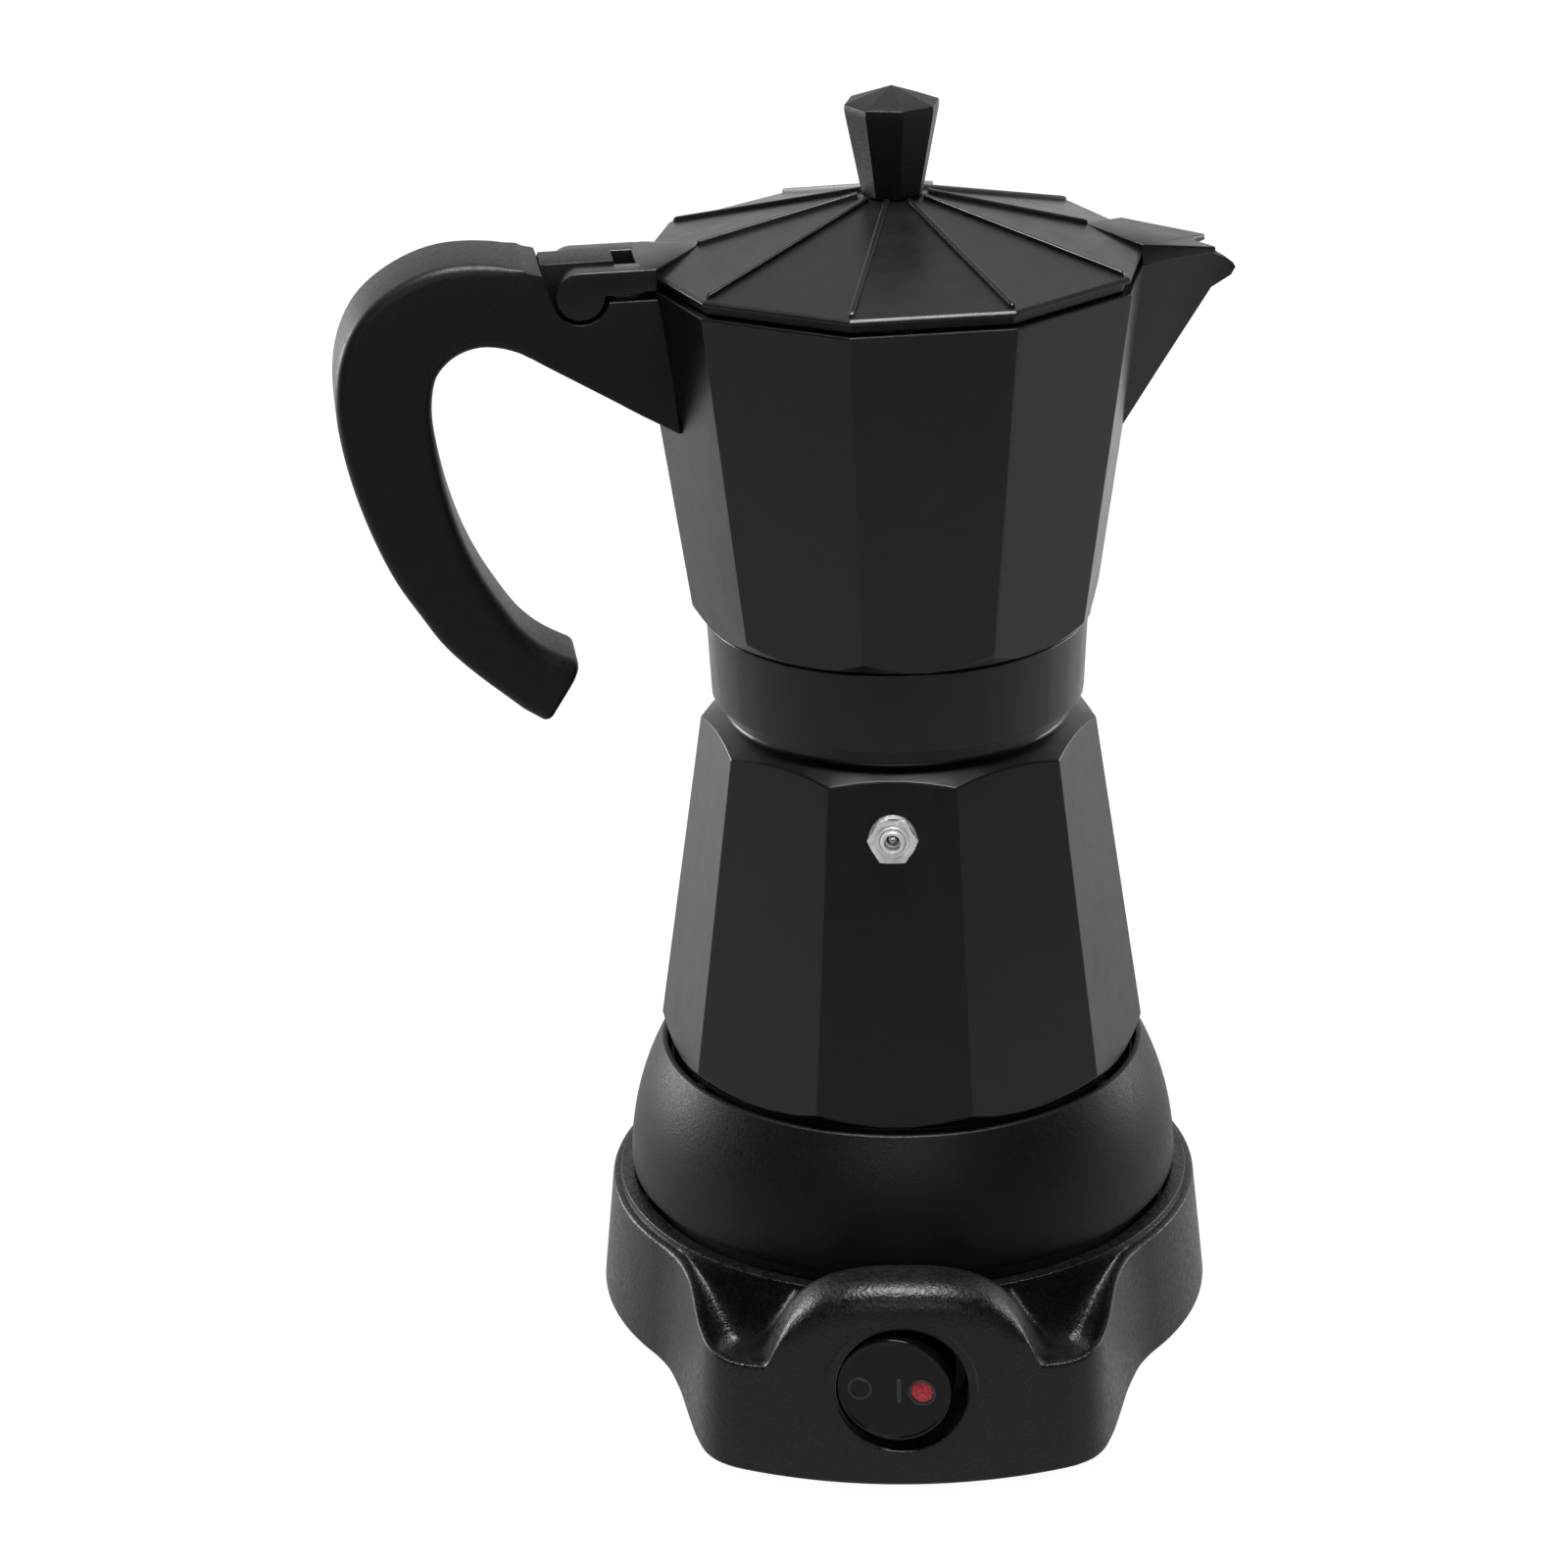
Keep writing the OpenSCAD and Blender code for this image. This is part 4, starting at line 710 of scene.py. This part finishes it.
# ---------- handle
def handle():
    """A rounded box section carried from the chamber's corner, under the hinge's notch, and round
    the grip. Each station joins a point of the outer line to one of the inner line, both given as
    (distance from the axis, height)."""
    top = RIM_TOP_Z
    a = np.radians(np.array([14.2, 30, 50, 70, 90, 110, 130, 151]))
    notch_r = KNUCKLE_R + 0.9
    notch = np.stack([HINGE_R - notch_r * np.cos(a), HINGE_Z - notch_r * np.sin(a)], -1)
    slope_x = np.array([57, 58.4, 60.2, 62.4, 64.8, 67.2, 69.6, 71.6])
    under = np.stack([slope_x, 201.7 + (slope_x - 46.7) * 0.594], -1)
    root_out = np.array([[r, top - 1.4] for r in (45.5, 50, 54, 57.6)])
    root_in = np.array([[45.5, 201.0], [49, 203.1], [52.5, 205.1], [55.8, 207.1]])
    wall_out = np.array([[70.4, 230.8], [71.2, 233.6], [71.9, 235.6]])
    wall_in = np.array([[72.7, 217.15], [73.6, 217.7], [74.4, 218.2]])
    grip_out = [(72, 232), (74.5, 236.3), (78, 237.3), (83, 238.2), (91.6, 238.0), (100.0, 235.0),
                (107.6, 229.5), (111.9, 222.4), (113.8, 214.0), (113.5, 203.7), (110.3, 189.1),
                (104.7, 174.2), (99.3, 165.3), (94.9, 158.4), (88.5, 151.8), (83.4, 147.3), (79.2, 143.6),
                (75.0, 140.3)]
    grip_in = [(72, 216.8), (75.2, 218.6), (77.2, 219.6), (80.75, 220.7), (85.0, 221.0), (89.2, 219.6),
               (92.2, 217.1), (94.0, 214.0), (94.8, 208.3), (94.35, 202.4), (92.8, 191.8), (89.9, 181.0),
               (86.4, 172.8), (82.9, 166.7), (79.0, 160.8), (75.0, 156.9), (71.4, 154.6), (67.8, 153.0)]
    last_out, last_in = np.array([[79.2, 143.6], [75.6, 141.2]]), np.array([[71.4, 154.6], [68.2, 152.9]])
    grip_out, grip_in = curve(grip_out, 5), curve(grip_in, 5)
    smoothings = 4
    for line in (grip_out, grip_in):
        for _ in range(smoothings):
            line[6:-1] = (line[5:-2] + 2 * line[6:-1] + line[7:]) / 4
    outer = np.concatenate([root_out, notch, wall_out, grip_out, last_out])
    inner = np.concatenate([root_in, under, wall_in, grip_in, last_in])
    count = len(outer)
    plain = len(root_out) + len(notch) + len(wall_out)
    ease = 10
    rest = count - plain - ease
    edge_out = np.concatenate([np.full(plain, 0.45), np.linspace(0.6, 2.3, ease), np.full(rest, 2.3)])
    edge_in = np.concatenate([np.full(4, 0.8), np.linspace(1.0, 2.3, plain + ease - 4),
                              np.linspace(2.3, 4.6, rest)])
    across = outer - inner
    length = np.linalg.norm(across, axis=1)
    across = across / length[:, None]
    q = np.linspace(0, math.pi / 2, 6)

    def section(i, centre, shrink):
        """The rounded box of a station, made smaller on all sides, from the middle of its inner end."""
        w, s0, s1 = ARM_HALF_W - shrink, shrink, length[i] - shrink
        r0, r1 = (max(edges[i] - shrink, 0.05) for edges in (edge_in, edge_out))
        p = np.concatenate([s1 - r1 + r1 * np.sin(q), s1 - r1 + r1 * np.cos(q), s0 + r0 - r0 * np.sin(q),
                            s0 + r0 - r0 * np.cos(q)])
        y = np.concatenate([-w + r1 - r1 * np.cos(q), w - r1 + r1 * np.sin(q), w - r0 + r0 * np.cos(q),
                            -w + r0 - r0 * np.sin(q)])
        flat = centre[None] + p[:, None] * across[i][None]
        return np.stack([-flat[:, 0], y, flat[:, 1]], -1)

    rows = [section(i, inner[i], 0.0) for i in range(count)]
    forward = np.array([across[-1][1], -across[-1][0]])
    tip_r = 1.6
    for t in np.linspace(0.25, 1, 4) * math.pi / 2:
        rows.append(section(-1, inner[-1] + forward * tip_r * math.sin(t), tip_r * (1 - math.cos(t))))
    grid = np.stack(rows, 0)
    wall_x = -(chamber_r(grid[..., 2]) * IN - np.abs(grid[..., 1]) * math.sin(HALF)) / IN + 0.9
    grid[..., 0] = np.minimum(grid[..., 0], wall_x)
    first = drawn_in(grid[:1])
    first[..., 0] = np.minimum(first[..., 0], -(chamber_r(first[..., 2]) - 0.9))
    grip = np.concatenate([first, grid, drawn_in(grid[-1:])], 0)
    tongue = [(7.3, top - 8), (7.3, top + 5.5), (-7.2, top + 5.4), (-10.8, top - 8)]
    points, faces = bevelled(*upright([(x - HINGE_R, z) for x, z in tongue], 5), 0.3)
    make("handle_body", [(turned(grip, CHAMBER_TURN), False, True)], "chamber", "handle_plastic",
         ["handle"], 34, [(turned(points, CHAMBER_TURN), faces)])


# ---------- heated foot
def dome():
    """A turned shell: its outside is a sphere's band that ends above the seat ring, and its top
    is rolled to a rim with a deep groove inside it, round the boiler's foot."""
    wall = 2.2
    heights = np.linspace(HOUSING_TOP_Z - 2.6, HOUSING_Z + 4, 18)
    heights = np.append(heights, [HOUSING_Z + 2, HOUSING_Z + 0.8])
    rim_z, ledge_z, groove_z = HOUSING_TOP_Z - 0.5, HOUSING_TOP_Z - 0.3, HOUSING_TOP_Z - 4.6

    def band(radius, z):
        """Profile of a sphere's band at heights above the sphere's middle."""
        return np.stack([np.sqrt(radius ** 2 - (z - HOUSING_Z) ** 2), z], -1)

    outside = band(HOUSING_R, heights)
    roll = turned_profile([(44, ledge_z), (48.9, ledge_z), (49.4, groove_z), (50.2, groove_z), (50.7, rim_z),
                           (51.9, rim_z), tuple(outside[0])], [0.2, 0.2, 0.2, 0.4, 0.8], 6)
    inside = band(HOUSING_R - wall, np.linspace(HOUSING_Z, groove_z - wall, 10))
    foot = [(HOUSING_R - 0.1, HOUSING_Z + 0.3), (HOUSING_R - 0.5, HOUSING_Z)]
    ceiling = [(46, groove_z - wall), (44, groove_z - wall)]
    profile = np.concatenate([ceiling[1:], roll, outside[1:], foot, inside, ceiling[:1]])
    make("heater_dome", [(revolve(profile, 220), True, True)], "boiler", "housing_plastic",
         ["heater_housing"], 40)


# ---------- base
def smooth_steps(x, knots, values):
    """Values between knots along a smooth line through them (cubic, with slopes taken from both sides)."""
    k, v = np.asarray(knots, float), np.asarray(values, float)
    slope = np.gradient(v, k)
    flat = np.diff(v) == 0
    slope[:-1][flat] = 0
    slope[1:][flat] = 0
    x = np.clip(x, k[0], k[-1])
    i = np.clip(np.searchsorted(k, x) - 1, 0, len(k) - 2)
    h = k[i + 1] - k[i]
    t = (x - k[i]) / h
    return ((2 * t ** 3 - 3 * t ** 2 + 1) * v[i] + (t ** 3 - 2 * t ** 2 + t) * h * slope[i]
            + (3 * t ** 2 - 2 * t ** 3) * v[i + 1] + (t ** 3 - t ** 2) * h * slope[i + 1])


def base_directions():
    """Angles from -Y of the base's columns: close together over the nose, wider round the back."""
    nose = np.arange(0, 31, 0.4)
    side = np.arange(31, 58, 0.9)
    back = np.linspace(58, 180, 50)
    half = np.concatenate([nose, side, back])
    return np.radians(np.concatenate([half, -half[1:-1][::-1]]))


def foot_radius(deg):
    """Radius of the base's lower edge at an angle from -Y: the nose's arc, its corner, its hollow
    flank, and the round skirt."""
    inward = (0, 0, 0.3, 1.1, 2.8, 6.5, 11.7, 15.8, 19.0, 21.8, 24.2, 25.5)
    return smooth_steps(np.abs(deg), [0, 20, 23.2, 25.2, 27.2, 30, 33.7, 37, 40, 43.5, 47.5, 52, 57, 180],
                        [NOSE_R - d for d in inward] + [SKIRT_R, SKIRT_R])


def draft(deg):
    """How far the wall leans in for each millimetre of height."""
    return smooth_steps(np.abs(deg), [0, 18, 24, 30, 37, 44, 50, 58, 180],
                        [NOSE_DRAFT, NOSE_DRAFT, 0.045, 0.08, 0.125, 0.13, 0.11, 0.1045, 0.1045])


def arch(x):
    """Height of the hump's cross section at a distance from its middle."""
    return smooth_steps(np.abs(x), [0, 6, 12, 16, 18.8, 21.5, 24.2, 26.4, 28, 30, 33, 60],
                        [44.6, 44.4, 43.4, 41.9, 40.1, 37.3, 33.4, 28.8, 25.0, 20.0, 13.0, 12.0])


def wing(x):
    """Height of the bridge behind the hump: level with the seat ring in the middle, and beyond
    22 mm a hollow quarter round, 28.4 - 13.4 sin(pi u / 2), that runs out into the valley."""
    u = np.clip((np.abs(x) - 22) / 13, 0, 1)
    return 28.4 - 13.4 * np.sin(math.pi / 2 * u)


def blend_up(a, b, soft):
    """The higher of two heights, rounded where they cross."""
    share = np.clip(0.5 + 0.5 * (a - b) / soft, 0, 1)
    return b * (1 - share) + a * share + soft * share * (1 - share)


def base_top(x, y, r, r_edge):
    """Height of the base's top between the seat ring and the wall: a deep valley, the ridge along
    the wall, and the hump that rises from the bridge over the switch."""
    gap = np.maximum(r_edge - RING_R - RIDGE_W, 0.1)
    s = np.clip((r - RING_R) / gap, 0, 1)
    depth = np.minimum(14.5, 0.85 * np.maximum(gap - 0.5, 0))
    dip = smooth_steps(np.abs(x), [20, 28, 36, 40, 44, 50, 60], [2.7, 2.7, 2.6, 1.8, 1.0, 0.9, 1.0])
    dip = np.where(y < 0, dip, 1.0)
    level = RIM_Z - 0.5 + (0.5 - dip) * s ** 3
    hollow = 1 - np.abs(2 * s - 1) ** 2.8
    valley = level - depth * np.clip(hollow, 0, 1)
    rise = smooth_steps(-y, [60, 62, 64, 70, 75, 79, 84, 95], [0, 0.06, 0.16, 0.56, 0.88, 1.0, 1.0, 0.98])
    hump = wing(x) + np.maximum(arch(x) - wing(x), 0) * rise
    return blend_up(hump, valley, 2.0)


def base():
    """One closed skin round the axis: up the socket's hole, across the well, over the ring, the
    valley or the hump, over the edge, down the wall and back under. The switch's opening is a
    second grid, spun from the wall's cut-out to the opening's circle and on into the pocket."""
    t = base_directions()
    deg = np.degrees(t)
    direction = np.stack([np.sin(t), -np.cos(t)], -1)
    foot, lean = foot_radius(deg), draft(deg)

    def wall_r(z):
        """Radius of the wall: the foot's, less the lean for each millimetre of height."""
        return foot - lean * (z - BASE_Z)

    # the edge, where the top meets the leaning wall, is found by going to and fro between the two
    edge_z = np.full(len(t), RIM_Z)
    for _ in range(6):
        edge_r = wall_r(edge_z)
        edge_z = base_top(direction[:, 0] * edge_r, direction[:, 1] * edge_r, edge_r, edge_r)
    edge_r = wall_r(edge_z)
    lift = np.clip((edge_z - RIM_Z) / 12, 0, 1)
    round_off = 0.9 + 5.4 * lift * lift * (3 - 2 * lift)
    back = np.minimum(round_off, 0.6 * np.maximum(edge_r - RING_R, 0.2))

    def row(r, z):
        """A row of points round the axis, at a radius and a height."""
        return at(direction, r, z)

    def top_row(r):
        """A row of points on the top, whose height follows from their x and y."""
        return row(r, base_top(direction[:, 0] * r, direction[:, 1] * r, r, edge_r))

    ceiling_z = WELL_Z - 2.4
    well = soften([row(SOCKET_HOLE_R, ceiling_z), row(SOCKET_HOLE_R, WELL_Z), row(WELL_R - 1.3, WELL_Z),
                   row(WELL_R, RING_Z), row(RING_R - 0.15, RING_Z - 0.1), row(RING_R, RIM_Z - 0.45)],
                  [0.2, 0.6, 0.4, 0.25])
    top = np.stack([top_row(RING_R + (edge_r - back - RING_R) * s) for s in np.linspace(0, 1, 30)[1:]])
    a, k = top[-1], row(edge_r, edge_z)
    wall_top_z = edge_z - round_off
    b = row(wall_r(wall_top_z), wall_top_z)
    u = np.linspace(0, 1, 9)[1:-1, None, None]
    bend = (1 - u) ** 2 * a + 2 * u * (1 - u) * k + u ** 2 * b
    heights = [wall_top_z * (1 - s) + (BASE_Z + 1.6) * s for s in np.linspace(0, 1, 15)]
    wall = np.stack([row(wall_r(z), z) for z in heights])
    lining, floor_z = 2.7, BASE_Z + 2.3
    under = soften([wall[-1], row(foot, BASE_Z), row(foot - lining, BASE_Z), row(foot - lining, floor_z),
                    row(SOCKET_HOLE_R, floor_z), row(SOCKET_HOLE_R, ceiling_z)], [1.3, 0.2, 0.2, 0.2])[1:]
    grid = np.concatenate([well, top, bend, wall, under], 0)

    # the cut-out round the switch takes whole quads of the wall's rows
    first = len(well) + len(top) + len(bend)
    margin_x, margin_z = 2.6, 3.2
    low_row = first + int(np.argmin(np.abs(wall[:, 0, 2] - (SWITCH_Z - SWITCH_HOLE_R - margin_z))))
    order = np.argsort(np.where(deg > 180, deg - 360, deg))
    half_w = SWITCH_HOLE_R + margin_x
    across = [j for j in order if abs(direction[j, 0] * edge_r[j]) < half_w and abs(deg[j]) < 90]
    n_rows, n_columns = grid.shape[:2]
    keep = np.ones((n_rows - 1, n_columns), bool)
    for j, j_next in zip(across[:-1], across[1:]):
        keep[first:low_row, j if (j + 1) % n_columns == j_next else j_next] = False
    border = np.concatenate([grid[first, across], grid[first + 1:low_row + 1, across[-1]],
                             grid[low_row, across[-2::-1]], grid[low_row - 1:first:-1, across[0]]])
    angle = np.arctan2(border[:, 2] - SWITCH_Z, border[:, 0] - SWITCH_X)

    def on_wall(x, z, deep):
        """Points on the nose's cone, y = -sqrt(r^2 - x^2), moved inwards by a depth."""
        r = NOSE_R - NOSE_DRAFT * (z - BASE_Z)
        return np.stack([x, -np.sqrt(r ** 2 - x ** 2) + deep, z], -1)

    def circle(r):
        """The x and z of a circle round the switch, at the angles of the cut-out's border."""
        return SWITCH_X + r * np.cos(angle), SWITCH_Z + r * np.sin(angle)

    spun, lip = [border], 0.55
    cx, cz = circle(SWITCH_HOLE_R + lip)
    for s in (0.2, 0.4, 0.6, 0.8, 0.93, 1.0):
        spun.append(on_wall(border[:, 0] * (1 - s) + cx * s, border[:, 2] * (1 - s) + cz * s, 0.0))
    for s in np.linspace(0.2, 1, 5) * math.pi / 2:
        spun.append(on_wall(*circle(SWITCH_HOLE_R + lip * (1 - math.sin(s))), lip * (1 - math.cos(s))))
    for r, deep in ((SWITCH_HOLE_R, 2.5), (SWITCH_HOLE_R + 1.7, 2.6), (SWITCH_HOLE_R + 1.7, 18), (0.0, 18)):
        x, z = circle(r)
        spun.append(np.stack([x, np.full_like(x, deep - NOSE_R), z], -1))
    make("base_body", [(grid, False, True, keep), (np.stack(spun), False, True)], "base", "base_plastic",
         ["base_shell"], 38)


# ---------- switch
def rocker():
    """Round rocker face with a rounded rim, a raised ring and a raised bar, and a ring round its lamp.
    It is drawn square to the wall and then turned about its pivot."""
    face_y, pivot_y, radius = -NOSE_R + 0.8, -NOSE_R + 8.0, SWITCH_HOLE_R - 1.95
    flat_y, back_y = face_y + 0.2, pivot_y + 2.4
    tilt, shift_x, shift_z = math.radians(-8), -0.95, 0.42

    def placed(points):
        """Points turned about the upright line through the pivot, and moved to the switch."""
        return turned(points - np.array([0, pivot_y, 0]), tilt) + [shift_x, pivot_y, SWITCH_Z + shift_z]

    def spun(profile, columns, centre=0.0):
        """A turned shape about the line through the centre along Y: points are (radius, y)."""
        a = -np.arange(columns) * 2 * math.pi / columns
        r, y = np.asarray(profile, float).T
        return placed(np.stack([centre + np.outer(r, np.cos(a)), np.repeat(y[:, None], columns, 1),
                                np.outer(r, np.sin(a))], -1))

    tube = np.linspace(0, 2 * math.pi, 9)[:-1]

    def hoop(centre, r, thick, high):
        """A ring of round section, flattened, on the rocker's face."""
        return spun(np.stack([r + thick * np.cos(tube), face_y + 0.22 - high * np.sin(tube)], -1), 48, centre)

    disc = turned_profile([(0.001, flat_y), (radius - 0.9, flat_y), (radius - 0.65, face_y),
                           (radius, face_y + 0.1), (radius, back_y), (0.001, back_y)], [0.2, 0.2, 0.45, 0.3])
    ends = np.linspace(0, math.pi, 9)
    half_bar = np.stack([0.42 * np.cos(ends), 2.3 + 0.42 * np.sin(ends)], -1)
    bar = np.concatenate([half_bar, -half_bar])
    shrink = np.array([1.0, 1.0, 0.85, 0.5, 0.0])[:, None]
    deep = np.array([0.5, -0.1, -0.24, -0.32, -0.34])
    x = 1.1 + shrink * bar[:, 0][None] * 1.25
    y = np.repeat((flat_y + deep)[:, None], len(bar), 1)
    z = bar[:, 1][None] - (1 - shrink) * np.sign(bar[:, 1])[None] * 0.42
    marks = [(hoop(-6.9, 2.25, 0.3, 0.42), True, True), (hoop(LAMP_X, 2.6, 0.36, 0.5), True, True),
             (placed(np.stack([x, y, z], -1)), False, True)]
    lens = [(0.001, -0.28), (0.9, -0.24), (1.7, -0.1), (2.25, 0.12), (2.38, 0.5), (2.38, 2.0), (0.001, 2.0)]
    lens = spun([(r, face_y + y) for r, y in lens], 40, LAMP_X)
    make("rocker_body", [(spun(disc, 96), False, True)], "rocker", "gloss_black", ["rocker"], 35)
    # the marks take the lighter dark_plastic: a painted highlight, so that they show against the black face
    # in place of light along their edges
    make("rocker_marks", marks, "rocker", "dark_plastic", (), 35)
    make("lamp_cap", [(lens, False, True)], "rocker", "red_lens", ["lamp_lens"], 40)


# ---------- safety valve
def valve():
    """A hexagon with a turned chamfer, a round collar and a tube nose, square to the boiler's face."""
    lean = math.atan(FACE_LEAN * IN / FACE_H)
    up = 58.7
    y0, z0 = up * math.tan(lean) - BOILER_FOOT_R * IN, BEVEL_TOP_Z + up
    c, s = math.cos(lean), math.sin(lean)

    def placed(p):
        """Points drawn with Z out of the boiler's face and Y up along it, put in their place."""
        x, y, z = np.moveaxis(p, -1, 0)
        return turned(np.stack([x, y0 + y * s - z * c, z0 + y * c + z * s], -1), BOILER_TURN)

    hexagon = plan(6, 0.02, np.linspace(0.02, 0.98, 10))
    flat = 5.2 * math.cos(math.pi / 6)
    top, back = 2.6, -8.0
    g = np.linalg.norm(hexagon, axis=-1)
    chamfer_r, slope = 4.72, 0.5
    keys = rings(hexagon, (3.75, back), (3.75, 0.3))
    keys += [at(hexagon, flat, 0.6), at(hexagon, flat, top - slope * (g * flat - chamfer_r)),
             ring(hexagon, np.minimum(g * flat, chamfer_r), top)]
    keys += rings(hexagon, *[(r, top + z) for r, z in (
        (3.7, 0), (3.6, -0.5), (3.2, -0.5), (3.1, 0.2), (2.8, 0.35), (2.6, -0.3), (2.45, 0.9), (2.25, 1.3),
        (1.7, 1.3), (1.6, -1.5), (1.25, -1.6), (1.25, back - top))])
    rows = soften(keys, [0.1, 0.15, 0.1, 0.08, 0.08, 0.08, 0.08, 0.12, 0.12, 0.1, 0.15, 0.15, 0.15, 0.1, 0.1])
    make("valve_nut", [(placed(rows), True, True)], "boiler", "chrome", ["valve_body"], 35)
    around = np.linspace(0, 2 * math.pi, 41)[:-1]
    circle = np.stack([np.cos(around), np.sin(around)], -1)
    washer = soften(rings(circle, (3.8, -1.6), (5.0, -1.6), (5.0, 0.55), (3.8, 0.55)), [0.15, 0.15])
    make("valve_seal", [(placed(washer), True, True)], "boiler", "bare_aluminium", ["valve_washer"], 35)
    shaft = [[0, 0, -12.0], *rings(circle, (0.9, -12.0), (0.9, top - 1.2)), [0, 0, top - 0.8]]
    shaft = soften(shaft, [0.3, 0.3])
    make("valve_shaft", [(placed(shaft), False, True)], "valve", "steel", ["valve_pin"], 35)


finish_cad_nodes()
boiler()
upper_chamber()
lid()
knob()
handle()
dome()
base()
rocker()
valve()


# ---------- camera, floor and light
def camera():
    """A long lens that looks down on the pot, turned and rolled slightly."""
    yaw, pitch, roll = math.radians(-1.885), math.radians(22.434), math.radians(-1.244)
    forward = np.array([math.sin(yaw) * math.cos(pitch), math.cos(yaw) * math.cos(pitch), -math.sin(pitch)])
    level = np.array([math.cos(yaw), -math.sin(yaw), 0.0])
    upright_axis = np.cross(level, forward)
    right = math.cos(roll) * level + math.sin(roll) * upright_axis
    up = -math.sin(roll) * level + math.cos(roll) * upright_axis
    cam = added("camera", bpy.data.cameras.new("camera"))
    cam.data.lens = 96.16
    cam.data.sensor_width = 36
    cam.data.clip_start, cam.data.clip_end = 0.05, 20
    eye_m = (0.002707, -0.822337, 0.457237)
    cam.matrix_world = Matrix([*zip(right, up, -forward, eye_m), (0, 0, 0, 1)])
    bpy.context.scene.camera = cam


def mixed(tree, fac, first, second):
    """The first shader where fac is 0 and the second where it is 1."""
    return node(tree, "ShaderNodeMixShader", {0: fac, 1: first, 2: second}).outputs["Shader"]


def floor():
    """A wide pale floor, white where the camera, a gloss or a glass looks at it. Glosses see it
    lighten towards the back: 0.1 + 0.9 u^1.6, where u goes from 0 at Y = -1.2 m to 1 at Y = 0.6 m."""
    mesh = bpy.data.meshes.new("floor")
    s = 6.0
    mesh.from_pydata([(-s, -s, 0), (s, -s, 0), (s, s, 0), (-s, s, 0)], [], [(0, 1, 2, 3)])
    piece = added("floor", mesh)
    m = bpy.data.materials.new("floor_white")
    m.use_nodes = True
    tree = m.node_tree
    tree.nodes.clear()
    ray = tree.nodes.new("ShaderNodeLightPath").outputs
    pale, faint = (node(tree, "ShaderNodeBsdfDiffuse", {"Color": (grey, grey, grey, 1)}).outputs["BSDF"]
                   for grey in (0.75, 0.12))
    white = node(tree, "ShaderNodeEmission", {"Strength": 0.965}).outputs["Emission"]
    seen = node(tree, "ShaderNodeAddShader", {0: faint, 1: white}).outputs["Shader"]
    split = node(tree, "ShaderNodeSeparateXYZ", {"Vector": place(tree)})
    back = math_of(tree, "POWER", spread(tree, split.outputs["Y"], 0, 1, -1.2, 0.6), 1.6)
    mirrored = node(tree, "ShaderNodeEmission", {"Strength": spread(tree, back, 0.1, 1.0, 0, 1)})
    bounced = math_of(tree, "MAXIMUM", ray["Is Glossy Ray"], ray["Is Transmission Ray"])
    unseen = mixed(tree, bounced, pale, mirrored.outputs["Emission"])
    node(tree, "ShaderNodeOutputMaterial", {"Surface": mixed(tree, ray["Is Camera Ray"], unseen, seen)})
    mesh.materials.append(m)


def world():
    """White for the camera. For everything else a dim room in front and a bright wall behind:
    its light grows with the direction's Y and fades with its height."""
    w = bpy.data.worlds.new("studio")
    bpy.context.scene.world = w
    w.use_nodes = True
    tree = w.node_tree
    tree.nodes.clear()
    direction = tree.nodes.new("ShaderNodeTexCoord").outputs["Generated"]
    split = node(tree, "ShaderNodeSeparateXYZ", {"Vector": direction})
    behind = spread(tree, split.outputs["Y"], 0.03, 1.0, 0.1, 0.6)
    low = spread(tree, split.outputs["Z"], 1.0, 0.3, 0.35, 0.85)
    white = node(tree, "ShaderNodeBackground", {}).outputs["Background"]
    room = node(tree, "ShaderNodeBackground", {"Strength": math_of(tree, "MULTIPLY", behind, low)})
    seen = tree.nodes.new("ShaderNodeLightPath").outputs["Is Camera Ray"]
    surface = mixed(tree, seen, room.outputs["Background"], white)
    node(tree, "ShaderNodeOutputWorld", {"Surface": surface})


def softbox(name, place_m, size, power):
    """A rectangular soft light that looks at the middle of the pot."""
    data = bpy.data.lights.new(name, "AREA")
    data.shape = "RECTANGLE"
    data.size, data.size_y = size
    data.energy = power
    lamp = added(name, data)
    lamp.location = place_m
    lamp.rotation_mode = "QUATERNION"
    lamp.rotation_quaternion = (Vector((0, 0, 0.15)) - Vector(place_m)).to_track_quat("-Z", "Y")


camera()
floor()
world()
softbox("left_box", (-1.1, 0.55, 0.28), (0.6, 0.5), 10)
softbox("right_box", (1.1, 0.55, 0.28), (0.4, 0.5), 4)
softbox("top_box", (0, -0.12, 1.3), (0.6, 0.4), 20)
softbox("front_strip", (0, -1.2, 0.6), (0.9, 0.04), 2)

bpy.context.scene.view_settings.view_transform = "Standard"
